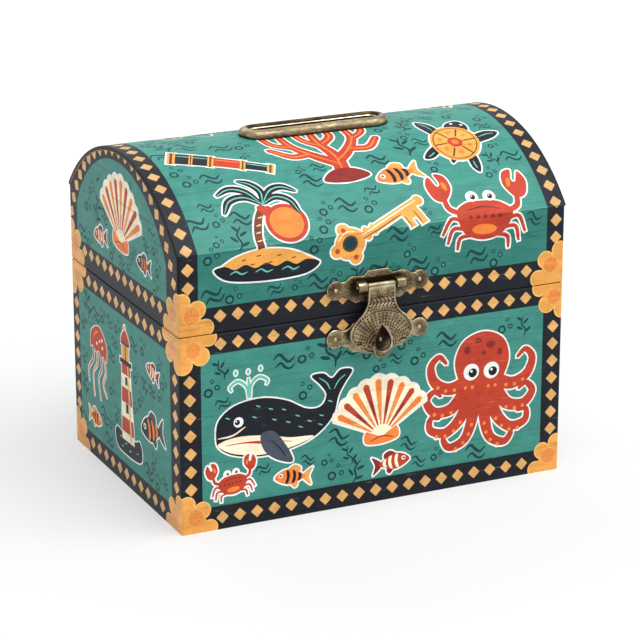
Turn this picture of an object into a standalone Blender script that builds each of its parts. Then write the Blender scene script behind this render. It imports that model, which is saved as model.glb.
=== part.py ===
"""Chest money box: a wooden box and a lid with an arched, slotted top.

The chest stands on the XY plane. X runs along the front, -Y is the front and Z
is up. The origin lies under the middle of the whole chest, hasp and hinges
included. The lid turns on two nailed hinges at the back, and a pressed metal
hasp with a swinging flap closes the front.
"""
import math

import bmesh
import bpy
from mathutils import Vector
from mathutils.geometry import delaunay_2d_cdt

MM = 0.001

# Driving dimensions of the chest
WIDTH = 125.0 * MM
DEPTH = 87.0 * MM
BOX_HEIGHT = 60.2 * MM
SEAM_GAP = 0.4 * MM
LID_WALL_HEIGHT = 24.0 * MM
ARCH_RISE = 20.2 * MM
WALL = 5.0 * MM
EDGE_RADIUS = 0.6 * MM

# Clearances
GLUE_GAP = 0.15 * MM
PAPER_GAP = 0.15 * MM
PIN_CLEARANCE = 0.05 * MM
SIDE_CLEARANCE = 0.3 * MM
TURN_CLEARANCE = 0.2 * MM
NAIL_CLEARANCE = 0.1 * MM
NAIL_SEAT_GAP = 0.05 * MM
CUT_OVERRUN = 1.0 * MM

# Hardware sizes that set how far the hasp and the hinges reach out
HASP_SHEET = 0.7 * MM
HASP_BARREL_RADIUS = 1.6 * MM
HINGE_BARREL_RADIUS = 1.3 * MM

HASP_PIN_REACH = PAPER_GAP + HASP_SHEET + TURN_CLEARANCE + HASP_BARREL_RADIUS
HASP_REACH = HASP_PIN_REACH + HASP_BARREL_RADIUS
HINGE_PIN_REACH = PAPER_GAP + HINGE_BARREL_RADIUS
HINGE_REACH = HINGE_PIN_REACH + HINGE_BARREL_RADIUS

# Planes of the chest, worked out from the sizes above
FRONT_Y = HASP_REACH - (DEPTH + HASP_REACH + HINGE_REACH) / 2
BACK_Y = FRONT_Y + DEPTH
MIDDLE_Y = (FRONT_Y + BACK_Y) / 2
SIDE_X = WIDTH / 2
LID_BOTTOM = BOX_HEIGHT + SEAM_GAP
CREASE_HEIGHT = LID_BOTTOM + LID_WALL_HEIGHT
ARCH_RADIUS = (ARCH_RISE ** 2 + (DEPTH / 2) ** 2) / (2 * ARCH_RISE)
ARCH_CENTRE_Z = CREASE_HEIGHT + ARCH_RISE - ARCH_RADIUS

AXES = {"X": Vector((1, 0, 0)), "Y": Vector((0, 1, 0)), "Z": Vector((0, 0, 1))}
ROUND_STEPS = 2
BOW_STEPS = 5
SMOOTH_ANGLE = math.radians(35)
TRIANGLE_TOLERANCE = 0.0001


def clear_scene():
    """Remove every object that the file starts with."""
    for obj in list(bpy.data.objects):
        bpy.data.objects.remove(obj, do_unlink=True)


def make_material(name, colour, roughness, metallic=0.0):
    """A Principled material of one colour."""
    material = bpy.data.materials.new(name)
    material.use_nodes = True
    shader = material.node_tree.nodes["Principled BSDF"]
    shader.inputs["Base Color"].default_value = (*colour, 1.0)
    shader.inputs["Roughness"].default_value = roughness
    shader.inputs["Metallic"].default_value = metallic
    return material


def make_empty(name, location):
    """An empty on a joint's axis, which carries the pieces that turn on it."""
    holder = bpy.data.objects.new(name, None)
    holder.location = location
    bpy.context.scene.collection.objects.link(holder)
    return holder


def add_object(name, mesh, location, material=None, holder=None):
    """Link a mesh at a place in the world, under its holder if it has one."""
    obj = bpy.data.objects.new(name, mesh)
    obj.location = location
    if holder:
        obj.parent = holder
        obj.location = Vector(location) - holder.location
    if material:
        mesh.materials.append(material)
    bpy.context.scene.collection.objects.link(obj)
    return obj


def finish_mesh(name, bm):
    """Turn a bmesh into a mesh with its faces pointing out and round parts smooth."""
    bmesh.ops.recalc_face_normals(bm, faces=bm.faces)
    mesh = bpy.data.meshes.new(name)
    bm.to_mesh(mesh)
    bm.free()
    mesh.shade_smooth()
    mesh.set_sharp_from_angle(angle=SMOOTH_ANGLE)
    return mesh


def change_with(obj, tool, operation):
    """Cut a tool object from a piece or join it to the piece."""
    tool.hide_render = True
    tool.display_type = 'WIRE'
    change = obj.modifiers.new(tool.name, 'BOOLEAN')
    change.operation = operation
    change.solver = 'EXACT'
    change.object = tool


def round_exposed_edges(bm, exposed):
    """Round the edges between two faces that both look out of the chest."""
    looks_out = [AXES[side[1]] * (1 if side[0] == "+" else -1) for side in exposed]

    def is_exposed(face):
        return any(face.normal.dot(direction) > math.cos(SMOOTH_ANGLE) for direction in looks_out)

    bmesh.ops.recalc_face_normals(bm, faces=bm.faces)
    edges = [edge for edge in bm.edges if all(is_exposed(face) for face in edge.link_faces)]
    bmesh.ops.bevel(bm, geom=edges, offset=EDGE_RADIUS, segments=ROUND_STEPS, profile=0.5,
                    affect='EDGES', clamp_overlap=True)


def make_board(name, low, high, exposed, material, holder=None):
    """A flat board between two corners, its outer edges slightly rounded."""
    low, high = Vector(low), Vector(high)
    bm = bmesh.new()
    bmesh.ops.create_cube(bm, size=1.0)
    bmesh.ops.scale(bm, vec=high - low, verts=bm.verts)
    round_exposed_edges(bm, exposed)
    return add_object(name, finish_mesh(name, bm), (low + high) / 2, material, holder)


def extrude_outline(outline, axis, length):
    """A prism of an outline, given as 3-D points, along an axis."""
    bm = bmesh.new()
    face = bm.faces.new([bm.verts.new(point) for point in outline])
    pushed = bmesh.ops.extrude_face_region(bm, geom=[face])
    moved = [item for item in pushed["geom"] if isinstance(item, bmesh.types.BMVert)]
    bmesh.ops.translate(bm, vec=AXES[axis] * length, verts=moved)
    return bm


def turned_mesh(name, profile, sides):
    """A body of revolution about local Z, from (radius, height) pairs, top first."""
    bm = bmesh.new()
    rings = []
    for radius, height in profile:
        if radius == 0:
            rings.append([bm.verts.new((0, 0, height))])
            continue
        circle = circle_loop(0, 0, radius, sides)
        rings.append([bm.verts.new((x, y, height)) for x, y in circle])
    for upper, lower in zip(rings, rings[1:]):
        for side in range(sides):
            after = (side + 1) % sides
            corners = [upper[side % len(upper)], upper[after % len(upper)],
                       lower[after % len(lower)], lower[side % len(lower)]]
            bm.faces.new(list(dict.fromkeys(corners)))
    return finish_mesh(name, bm)


def arc_points(centre, radius, start, end, steps):
    """Points of an arc in a plane, from one angle to another, both ends kept."""
    turns = [start + (end - start) * step / steps for step in range(steps + 1)]
    return [(centre[0] + radius * math.cos(turn), centre[1] + radius * math.sin(turn)) for turn in turns]


def circle_loop(x, z, radius, sides):
    """A full circle as a loop of points."""
    return arc_points((x, z), radius, 0, 2 * math.pi * (sides - 1) / sides, sides - 1)


def bowed_line(start, end, bow, steps):
    """Points from start up to, but without, end, bowed sideways by a share of the length."""
    run = (end[0] - start[0], end[1] - start[1])
    points = []
    for step in range(steps):
        share = step / steps
        side = 4 * bow * share * (1 - share)
        points.append((start[0] + run[0] * share + run[1] * side, start[1] + run[1] * share - run[0] * side))
    return points


def mirrored_outline(half):
    """A closed outline from the points of its +X half, listed from top to bottom."""
    return half + [(-x, z) for x, z in reversed(half) if x > 0]


def outline_from_shares(shares, half_width, height):
    """The +X half of an outline from (width share, height share, bow to the next point).

    The points run from top to bottom, so a negative bow swells outwards.
    """
    half = []
    for (x, z, bow), after in zip(shares, shares[1:]):
        start, end = (x * half_width, z * height), (after[0] * half_width, after[1] * height)
        half += bowed_line(start, end, bow, BOW_STEPS) if bow else [start]
    half.append((shares[-1][0] * half_width, shares[-1][1] * height))
    return half


def counter_clockwise(loop):
    """The loop in the direction whose enclosed area is positive."""
    area = sum(a[0] * b[1] - b[0] * a[1] for a, b in zip(loop, loop[1:] + loop[:1]))
    return loop if area > 0 else loop[::-1]


def pressed_sheet(name, outline, holes, front, back, grid=None):
    """A pressed sheet standing in the XZ plane.

    outline and holes are loops of (x, z) points. front and back give each
    point's reach towards -Y, so both faces can swell where the sheet is
    pressed. grid is the spacing of extra points inside, for a swelling sheet.
    """
    loops = [counter_clockwise(loop) for loop in [outline] + holes]
    points = [point for loop in loops for point in loop]
    faces = []
    first = 0
    for loop in loops:
        faces.append(list(range(first, first + len(loop))))
        first += len(loop)
    if grid:
        xs = [x for x, z in outline]
        zs = [z for x, z in outline]
        columns = int((max(xs) - min(xs)) / grid)
        rows = int((max(zs) - min(zs)) / grid)
        points += [(min(xs) + (max(xs) - min(xs)) * (column + 0.5) / columns,
                    min(zs) + (max(zs) - min(zs)) * (row + 0.5) / rows)
                   for column in range(columns) for row in range(rows)]
    # The triangulation works on numbers of millimetres, like its tolerance
    flat, _, triangles, _, _, sources = delaunay_2d_cdt(
        [Vector((x / MM, z / MM)) for x, z in points], [], faces, 1, TRIANGLE_TOLERANCE)
    kept = [triangle for triangle, source in zip(triangles, sources) if source == [0]]

    bm = bmesh.new()
    sides = []
    for reach in (front, back):
        placed = {}
        for index in sorted({index for triangle in kept for index in triangle}):
            x, z = flat[index][0] * MM, flat[index][1] * MM
            placed[index] = bm.verts.new((x, -reach(x, z), z))
        sides.append(placed)
    for triangle in kept:
        bm.faces.new([sides[0][index] for index in triangle])
        bm.faces.new([sides[1][index] for index in reversed(triangle)])
    directed = {(a, b) for t in kept for a, b in zip(t, t[1:] + t[:1])}
    for a, b in sorted(directed):
        if (b, a) not in directed:
            bm.faces.new([sides[0][b], sides[0][a], sides[1][a], sides[1][b]])
    return finish_mesh(name, bm)


# Materials, with the colours that the photograph shows
TEAL_BOARD = ("printed_board", (0.05, 0.30, 0.24), 0.55)
PLAIN_BOARD = ("plain_board", (0.42, 0.27, 0.15), 0.8)
BRONZE = ("antique_bronze", (0.20, 0.15, 0.09), 0.42, 0.9)


# Nails, which hold the hasp plates and the hinge leaves to the boards
NAIL_HEAD_RADIUS = 0.95 * MM
NAIL_HEAD_HEIGHT = 0.4 * MM
NAIL_SHANK_RADIUS = 0.45 * MM
NAIL_GRIP = 3.6 * MM
NAIL_POINT = 0.8 * MM
NAIL_SIDES = 10
NAIL_HEAD_STEPS = 3
NAIL_HOLE_RADIUS = NAIL_SHANK_RADIUS + NAIL_CLEARANCE
NAIL_HOLE_DEPTH = NAIL_GRIP + NAIL_CLEARANCE
FACES = {"front": (FRONT_Y, -1), "back": (BACK_Y, 1)}


def add_nail(name, x, z, face, sheet, board, material, holder=None):
    """A round-headed nail through a sheet, in a pilot hole of the board behind it."""
    face_y, outwards = FACES[face]
    head_seat = PAPER_GAP + sheet + NAIL_SEAT_GAP
    profile = [(NAIL_HEAD_RADIUS * math.sin(turn), head_seat + NAIL_HEAD_HEIGHT * math.cos(turn))
               for turn in [math.pi / 2 * step / NAIL_HEAD_STEPS for step in range(NAIL_HEAD_STEPS + 1)]]
    profile += [(NAIL_SHANK_RADIUS, head_seat), (NAIL_SHANK_RADIUS, NAIL_POINT - NAIL_GRIP), (0, -NAIL_GRIP)]
    nail = add_object(name, turned_mesh(name, profile, NAIL_SIDES), (x, face_y, z), material, holder)
    nail.rotation_euler = (-outwards * math.pi / 2, 0, 0)

    hole_profile = [(0, CUT_OVERRUN), (NAIL_HOLE_RADIUS, CUT_OVERRUN),
                    (NAIL_HOLE_RADIUS, -NAIL_HOLE_DEPTH), (0, -NAIL_HOLE_DEPTH)]
    hole_mesh = turned_mesh(name + "_hole", hole_profile, NAIL_SIDES)
    hole = add_object(hole_mesh.name, hole_mesh, (x, face_y, z), None, holder)
    hole.rotation_euler = nail.rotation_euler
    change_with(board, hole, 'DIFFERENCE')


# Box: a base between four upright panels
BASE_THICKNESS = 4.0 * MM


def add_box():
    """The five boards of the box; the front and back panels cover the side panels' ends."""
    teal = make_material(*TEAL_BOARD)
    plain = make_material(*PLAIN_BOARD)
    boards = {}
    for name, low_y, high_y, outside in (("front_panel", FRONT_Y, FRONT_Y + WALL, "-Y"),
                                         ("back_panel", BACK_Y - WALL, BACK_Y, "+Y")):
        boards[name] = make_board(name, (-SIDE_X, low_y, 0), (SIDE_X, high_y, BOX_HEIGHT),
                                  (outside, "-X", "+X", "-Z", "+Z"), teal)
    inner_front = FRONT_Y + WALL + GLUE_GAP
    inner_back = BACK_Y - WALL - GLUE_GAP
    for name, low_x, outside in (("left_side_panel", -SIDE_X, "-X"),
                                 ("right_side_panel", SIDE_X - WALL, "+X")):
        boards[name] = make_board(name, (low_x, inner_front, 0), (low_x + WALL, inner_back, BOX_HEIGHT),
                                  (outside, "-Z", "+Z"), teal)
    inner_x = SIDE_X - WALL - GLUE_GAP
    make_board("base_panel", (-inner_x, inner_front, 0), (inner_x, inner_back, BASE_THICKNESS), (), plain)
    return boards


# Lid: two rails, two arched ends and a bent top board with the coin slot
TOP_BOARD = 1.2 * MM
TOP_OVERHANG = 0.3 * MM
ARCH_STEPS = 44
END_ARCH_STEPS = 32
SLOT_INNER_LENGTH = 41.8 * MM
SLOT_INNER_WIDTH = 4.8 * MM
COLLAR_WALL = 0.6 * MM
SLOT_END_STEPS = 10


def surface_height(y, radius=ARCH_RADIUS):
    """Height of the arch of a given radius above a place between front and back."""
    return ARCH_CENTRE_Z + math.sqrt(radius ** 2 - (y - MIDDLE_Y) ** 2)


def stadium_loop(length, width, steps):
    """Points and outward directions of a slot outline with round ends, lying along X."""
    radius = width / 2
    loop = []
    for side, start in ((1, -math.pi / 2), (-1, math.pi / 2)):
        centre_x = side * (length / 2 - radius)
        for step in range(steps + 1):
            turn = start + math.pi * step / steps
            out = Vector((math.cos(turn), math.sin(turn)))
            loop.append((Vector((centre_x, MIDDLE_Y)) + out * radius, out))
    return loop


def add_lid_ends(holder, teal):
    """The two arched ends, which stand between the rails and carry the top board."""
    radius = ARCH_RADIUS - TOP_BOARD - GLUE_GAP
    half_depth = DEPTH / 2 - WALL - GLUE_GAP
    half_angle = math.asin(half_depth / radius)
    arch = arc_points((MIDDLE_Y, ARCH_CENTRE_Z), radius, math.pi / 2 - half_angle, math.pi / 2 + half_angle,
                      END_ARCH_STEPS)
    outline = [(MIDDLE_Y - half_depth, LID_BOTTOM), (MIDDLE_Y + half_depth, LID_BOTTOM)] + arch
    for name, low_x, outside in (("lid_left_end", -SIDE_X, "-X"),
                                 ("lid_right_end", SIDE_X - WALL, "+X")):
        bm = extrude_outline([(low_x, y, z) for y, z in outline], "X", WALL)
        round_exposed_edges(bm, (outside, "-Z"))
        bmesh.ops.translate(bm, vec=-holder.location, verts=bm.verts)
        add_object(name, finish_mesh(name, bm), holder.location, teal, holder)


def add_arched_top(holder, teal):
    """The bent top board, cut level along the rails and slotted in its crown."""
    inner_radius = ARCH_RADIUS - TOP_BOARD
    foot = CREASE_HEIGHT + GLUE_GAP
    outline = []
    for radius, direction in ((ARCH_RADIUS, 1), (inner_radius, -1)):
        half_angle = math.acos((foot - ARCH_CENTRE_Z) / radius)
        outline += arc_points((MIDDLE_Y, ARCH_CENTRE_Z), radius, math.pi / 2 - direction * half_angle,
                              math.pi / 2 + direction * half_angle, ARCH_STEPS)
    reach = SIDE_X + TOP_OVERHANG
    bm = extrude_outline([(-reach, y, z) for y, z in outline], "X", 2 * reach)
    bmesh.ops.translate(bm, vec=-holder.location, verts=bm.verts)
    top = add_object("lid_arched_top", finish_mesh("lid_arched_top", bm), holder.location, teal, holder)

    spare = 2 * (COLLAR_WALL + TURN_CLEARANCE)
    loop = stadium_loop(SLOT_INNER_LENGTH + spare, SLOT_INNER_WIDTH + spare, SLOT_END_STEPS)
    bottom = surface_height(MIDDLE_Y, inner_radius) - CUT_OVERRUN
    bm = extrude_outline([(point.x, point.y, bottom) for point, _ in loop], "Z", TOP_BOARD + 2 * CUT_OVERRUN)
    bmesh.ops.translate(bm, vec=-holder.location, verts=bm.verts)
    slot = add_object("coin_slot_cut", finish_mesh("coin_slot_cut", bm), holder.location, None, holder)
    change_with(top, slot, 'DIFFERENCE')


def add_lid(holder):
    """The wooden boards of the lid."""
    teal = make_material(*TEAL_BOARD)
    boards = {}
    for name, low_y, outside in (("lid_front_rail", FRONT_Y, "-Y"),
                                 ("lid_back_rail", BACK_Y - WALL, "+Y")):
        boards[name] = make_board(name, (-SIDE_X, low_y, LID_BOTTOM), (SIDE_X, low_y + WALL, CREASE_HEIGHT),
                                  (outside, "-X", "+X", "-Z"), teal, holder)
    add_lid_ends(holder, teal)
    add_arched_top(holder, teal)
    return boards


# Coin slot ring: a rounded band on the crown with a collar through the board
RING_BAND = 3.3 * MM
RING_HEIGHT = 2.6 * MM
RING_FOOT = 0.9 * MM
RING_LIP = 0.8 * MM
COLLAR_DROP = 0.6 * MM
RING_CURVE_STEPS = 6


def add_coin_slot_ring(holder, bronze):
    """A profile carried round the slot; every point keeps its height over the arch."""
    curve = [math.pi / 2 * step / RING_CURVE_STEPS for step in range(RING_CURVE_STEPS + 1)]
    shoulder = RING_BAND - RING_LIP
    profile = [(0, -TOP_BOARD - COLLAR_DROP), (0, RING_HEIGHT - RING_LIP / 2), (RING_LIP / 2, RING_HEIGHT)]
    profile += [(RING_LIP + shoulder * math.sin(turn), RING_FOOT + (RING_HEIGHT - RING_FOOT) * math.cos(turn))
                for turn in curve]
    profile += [(RING_BAND, PAPER_GAP), (COLLAR_WALL, PAPER_GAP), (COLLAR_WALL, -TOP_BOARD - COLLAR_DROP)]

    bm = bmesh.new()
    rows = []
    for point, out in stadium_loop(SLOT_INNER_LENGTH, SLOT_INNER_WIDTH, SLOT_END_STEPS):
        row = []
        for offset, height in profile:
            place = point + out * offset
            row.append(bm.verts.new((place.x, place.y, surface_height(place.y) + height)))
        rows.append(row)
    for row, after in zip(rows, rows[1:] + rows[:1]):
        for lower in range(len(profile)):
            upper = (lower + 1) % len(profile)
            bm.faces.new([row[lower], row[upper], after[upper], after[lower]])
    bmesh.ops.translate(bm, vec=-holder.location, verts=bm.verts)
    add_object("coin_slot_ring", finish_mesh("coin_slot_ring", bm), holder.location, bronze, holder)


# Barrels, which the hasp and the hinges turn on
BARREL_SIDES = 20


def add_barrel(name, span, axis_y, axis_z, radius, pin_radius, holder=None):
    """A knuckle along X, a tube with a running clearance round its pin."""
    bore = pin_radius + PIN_CLEARANCE
    bm = bmesh.new()
    ends = []
    for x in span:
        rings = [circle_loop(0, 0, size, BARREL_SIDES) for size in (radius, bore)]
        ends.append([[bm.verts.new((x, y, z)) for y, z in ring] for ring in rings])
    for step in range(BARREL_SIDES):
        after = (step + 1) % BARREL_SIDES
        for outer, inner in ends:
            bm.faces.new([outer[step], outer[after], inner[after], inner[step]])
        for low, high in zip(*ends):
            bm.faces.new([low[step], low[after], high[after], high[step]])
    return add_object(name, finish_mesh(name, bm), (0, axis_y, axis_z), None, holder)


def add_pin(name, span, y, z, radius, material, holder):
    """A hinge pin along X with slightly chamfered ends."""
    length = span[1] - span[0]
    chamfer = radius / 2
    profile = [(0, length / 2), (radius - chamfer, length / 2), (radius, length / 2 - chamfer),
               (radius, chamfer - length / 2), (radius - chamfer, -length / 2), (0, -length / 2)]
    mesh = turned_mesh(name, profile, BARREL_SIDES)
    pin = add_object(name, mesh, ((span[0] + span[1]) / 2, y, z), material, holder)
    pin.rotation_euler = (0, math.pi / 2, 0)


# Hasp: a top plate on the lid, a flap that swings on its pin, and a catch plate on the box
HASP_PIN_RADIUS = 0.6 * MM
HASP_PIN_HEIGHT = 8.2 * MM
HASP_NAIL_SPREAD = 13.65 * MM
HASP_LOBE_RADIUS = 2.9 * MM
TOP_PLATE_HALF_HEIGHT = 4.4 * MM
TOP_PLATE_DROP = 0.7 * MM
CATCH_PLATE_HALF_HEIGHT = 4.6 * MM
CATCH_PLATE_FALL = 7.3 * MM
FLAP_BARREL_HALF = 4.4 * MM
FLAP_BARREL_RADIUS = 1.15 * MM
SIDE_BARREL_LENGTH = 3.3 * MM
BARREL_FOOT_HALF_HEIGHT = 1.1 * MM
LOBE_STEPS = 12

HASP_PIN_Z = LID_BOTTOM + HASP_PIN_HEIGHT
TOP_PLATE_Z = HASP_PIN_Z - TOP_PLATE_DROP
CATCH_PLATE_Z = LID_BOTTOM - CATCH_PLATE_FALL
HASP_PIN_Y = FRONT_Y - HASP_PIN_REACH

# Outlines as (share of the nail spread, share of the half height, bow to the next point)
TOP_PLATE_UPPER_SHARES = ((0, 1.1, 0), (0.25, 1.1, 0), (0.34, 0.78, 0), (0.48, 0.80, -0.16), (0.77, 0.56, 0))
TOP_PLATE_LOWER_SHARES = ((0.77, -0.62, 0.06), (0.60, -0.90, -0.16), (0.42, -1.0, 0), (0, -1.0, 0))
CATCH_PLATE_UPPER_SHARES = ((0, 1.0, 0), (0.36, 1.0, -0.12), (0.62, 0.80, 0.10), (0.77, 0.50, 0))
CATCH_PLATE_LOWER_SHARES = ((0.77, -0.60, 0.08), (0.64, -0.88, -0.18), (0.46, -1.0, -0.12), (0, -1.08, 0))
LOBE_OPEN_ANGLE = math.radians(130)


def plate_outline(upper_shares, lower_shares, half_height):
    """A plate with a round lobe about each nail and a shaped middle."""
    half = outline_from_shares(upper_shares, HASP_NAIL_SPREAD, half_height)
    half += arc_points((HASP_NAIL_SPREAD, 0), HASP_LOBE_RADIUS, LOBE_OPEN_ANGLE, -LOBE_OPEN_ANGLE, LOBE_STEPS)
    half += outline_from_shares(lower_shares, HASP_NAIL_SPREAD, half_height)
    return mirrored_outline(half)


def nail_loops():
    """The two nail holes of a hasp plate."""
    return [circle_loop(x, 0, NAIL_HOLE_RADIUS, NAIL_SIDES) for x in (-HASP_NAIL_SPREAD, HASP_NAIL_SPREAD)]


def add_top_plate(holder, bronze):
    """The plate on the lid, with a knuckle on each side of the flap."""
    outline = plate_outline(TOP_PLATE_UPPER_SHARES, TOP_PLATE_LOWER_SHARES, TOP_PLATE_HALF_HEIGHT)
    front = PAPER_GAP + HASP_SHEET
    mesh = pressed_sheet("hasp_top_plate", outline, nail_loops(), lambda x, z: front, lambda x, z: PAPER_GAP)
    plate = add_object("hasp_top_plate", mesh, (0, FRONT_Y, TOP_PLATE_Z), bronze, holder)
    inner = FLAP_BARREL_HALF + SIDE_CLEARANCE
    outer = inner + SIDE_BARREL_LENGTH
    foot_front = HASP_PIN_Y + (HASP_PIN_RADIUS + PIN_CLEARANCE + HASP_BARREL_RADIUS) / 2
    foot_back = FRONT_Y - PAPER_GAP - HASP_SHEET / 2
    for side, span in (("left", (-outer, -inner)), ("right", (inner, outer))):
        knuckle = add_barrel(f"hasp_{side}_knuckle", span, HASP_PIN_Y, HASP_PIN_Z, HASP_BARREL_RADIUS,
                             HASP_PIN_RADIUS, holder)
        foot = make_board(f"hasp_{side}_foot", (span[0], foot_front, HASP_PIN_Z - BARREL_FOOT_HALF_HEIGHT),
                          (span[1], foot_back, HASP_PIN_Z + BARREL_FOOT_HALF_HEIGHT), (), None, holder)
        change_with(knuckle, foot, 'UNION')
        change_with(plate, knuckle, 'UNION')
    add_pin("hasp_pin", (-outer, outer), HASP_PIN_Y, HASP_PIN_Z, HASP_PIN_RADIUS, bronze, holder)


# Nose of the catch plate, a smooth teardrop that stands in the flap's mouth
NOSE_HALF_WIDTH = 1.9 * MM
NOSE_HALF_HEIGHT = 3.0 * MM
NOSE_HEIGHT = 1.75 * MM
NOSE_DROP = 1.2 * MM
NOSE_FULLNESS = 0.7
NOSE_GRID = 0.8 * MM


def nose_reach(x, z):
    """Reach of the catch plate's front: flat, with the nose swelling out of it."""
    across = (x / NOSE_HALF_WIDTH) ** 2 + ((z + NOSE_DROP) / NOSE_HALF_HEIGHT) ** 2
    swell = math.cos(min(math.sqrt(across), 1) * math.pi / 2) ** NOSE_FULLNESS
    return PAPER_GAP + HASP_SHEET + NOSE_HEIGHT * swell


def add_catch_plate(bronze):
    """The plate on the box front, pressed out into the nose."""
    outline = plate_outline(CATCH_PLATE_UPPER_SHARES, CATCH_PLATE_LOWER_SHARES, CATCH_PLATE_HALF_HEIGHT)
    mesh = pressed_sheet("hasp_catch_plate", outline, nail_loops(), nose_reach, lambda x, z: PAPER_GAP,
                         NOSE_GRID)
    add_object("hasp_catch_plate", mesh, (0, FRONT_Y, CATCH_PLATE_Z), bronze)


# Flap, measured down from the pin's axis
FLAP_LENGTH = 22.4 * MM
FLAP_HALF_WIDTH = 10.35 * MM
FLAP_SHEET = 0.8 * MM
FLAP_REACH = 2.2 * MM
FLAP_BEND = 7.5 * MM
FLAP_GRID = 1.1 * MM
FLAP_TOP_SINK = 0.05 * MM
FLAP_ROLL_SHEET = 0.4 * MM
FLAP_ROLL_DROP = 1.5 * MM
LIP_SWELL = 1.35 * MM
LIP_SWELL_WIDTH = 6.4 * MM
LIP_SWELL_START_SHARE = 0.62
LIP_SWELL_END_SHARE = 0.93
MOUTH_TOP_SHARE = 0.54
MOUTH_MIDDLE_SHARE = 0.775
MOUTH_RADIUS = 3.0 * MM
MOUTH_BOW_SHARE = -0.08
MOUTH_STEPS = 14

# Down the neck and the flank, then three scallops and the corner of the lip
FLAP_SHARES = ((0.42, 0, 0), (0.42, -0.19, 0.10), (0.72, -0.42, -0.09), (1.0, -0.62, -0.14),
               (0.87, -0.77, -0.25), (0.68, -0.80, -0.25), (0.50, -0.825, -0.25), (0.31, -0.857, 0))


def smooth_step(share):
    """Rise from 0 to 1 with level ends."""
    share = min(max(share, 0), 1)
    return share * share * (3 - 2 * share)


def flap_reach(x, z):
    """Front of the flap from the pin's plane: over the barrel, in to its flat, out at the lip."""
    flat = FLAP_REACH - HASP_PIN_REACH
    start = FLAP_BARREL_RADIUS - FLAP_TOP_SINK
    bend = start + (flat - start) * smooth_step(-z / FLAP_BEND)
    down = (-z / FLAP_LENGTH - LIP_SWELL_START_SHARE) / (LIP_SWELL_END_SHARE - LIP_SWELL_START_SHARE)
    swell = smooth_step(down) * smooth_step(1 - abs(x) / LIP_SWELL_WIDTH)
    return bend + LIP_SWELL * swell


def flap_back(x, z):
    """Back of the flap; its sheet is thinner where it runs into the barrel, clear of the pin."""
    sheet = FLAP_ROLL_SHEET + (FLAP_SHEET - FLAP_ROLL_SHEET) * smooth_step(-z / FLAP_ROLL_DROP)
    return flap_reach(x, z) - sheet


def mouth_loop():
    """A teardrop: a point above, a half circle below."""
    top = (0, -MOUTH_TOP_SHARE * FLAP_LENGTH)
    centre = (0, -MOUTH_MIDDLE_SHARE * FLAP_LENGTH)
    lower = arc_points(centre, MOUTH_RADIUS, 0, -math.pi, MOUTH_STEPS)
    return (bowed_line(top, lower[0], MOUTH_BOW_SHARE, BOW_STEPS) + lower[:-1]
            + bowed_line(lower[-1], top, MOUTH_BOW_SHARE, BOW_STEPS))


def add_flap(holder, bronze):
    """The swinging flap; its sheet runs out of the barrel on the pin."""
    half = outline_from_shares(FLAP_SHARES, FLAP_HALF_WIDTH, FLAP_LENGTH)
    lip_radius = half[-1][0]
    half += arc_points((0, lip_radius - FLAP_LENGTH), lip_radius, 0, -math.pi / 2, MOUTH_STEPS // 2)[:-1]
    half.append((0, -FLAP_LENGTH))
    outline = mirrored_outline(half)
    mesh = pressed_sheet("hasp_flap", outline, [mouth_loop()], flap_reach, flap_back, FLAP_GRID)
    flap = add_object("hasp_flap", mesh, (0, HASP_PIN_Y, HASP_PIN_Z), bronze, holder)
    barrel = add_barrel("hasp_flap_barrel", (-FLAP_BARREL_HALF, FLAP_BARREL_HALF), HASP_PIN_Y, HASP_PIN_Z,
                        FLAP_BARREL_RADIUS, HASP_PIN_RADIUS, holder)
    change_with(flap, barrel, 'UNION')


def add_hasp(boards, lid_boards, holder):
    """All pieces of the hasp with their nails."""
    bronze = make_material(*BRONZE)
    add_top_plate(holder, bronze)
    add_flap(holder, bronze)
    add_catch_plate(bronze)
    for side, x in (("left", -HASP_NAIL_SPREAD), ("right", HASP_NAIL_SPREAD)):
        add_nail("hasp_top_nail_" + side, x, TOP_PLATE_Z, "front", HASP_SHEET,
                 lid_boards["lid_front_rail"], bronze, holder)
        add_nail("hasp_catch_nail_" + side, x, CATCH_PLATE_Z, "front", HASP_SHEET,
                 boards["front_panel"], bronze)


# Back hinges, each with a lid leaf, a box leaf, a pin and four nails
HINGE_SPREAD = 33.0 * MM
HINGE_WIDTH = 18.0 * MM
HINGE_LEAF_HEIGHT = 8.0 * MM
HINGE_SHEET = 0.6 * MM
HINGE_PIN_RADIUS = 0.55 * MM
HINGE_MIDDLE_LENGTH = 6.0 * MM
HINGE_NAIL_SPREAD = 5.6 * MM
HINGE_NAIL_RISE = 4.9 * MM
HINGE_CORNER = 1.5 * MM
CORNER_STEPS = 4

HINGE_PIN_Z = BOX_HEIGHT + SEAM_GAP / 2
HINGE_PIN_Y = BACK_Y + HINGE_PIN_REACH


def leaf_outline(spans, up):
    """A leaf whose inner edge runs in to the axis only where it carries a knuckle."""
    half = HINGE_WIDTH / 2
    cut_back = HINGE_BARREL_RADIUS + SIDE_CLEARANCE
    inner = [] if spans[0][0] == -half else [(-half, cut_back)]
    for low, high in spans:
        inner += [(low, cut_back), (low, 0), (high, 0), (high, cut_back)]
    if spans[0][0] == -half:
        inner = inner[1:-1]
    else:
        inner.append((half, cut_back))
    centre_z = HINGE_LEAF_HEIGHT - HINGE_CORNER
    right = arc_points((half - HINGE_CORNER, centre_z), HINGE_CORNER, 0, math.pi / 2, CORNER_STEPS)
    left = arc_points((HINGE_CORNER - half, centre_z), HINGE_CORNER, math.pi / 2, math.pi, CORNER_STEPS)
    return [(x, z * up) for x, z in inner + right + left]


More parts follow.
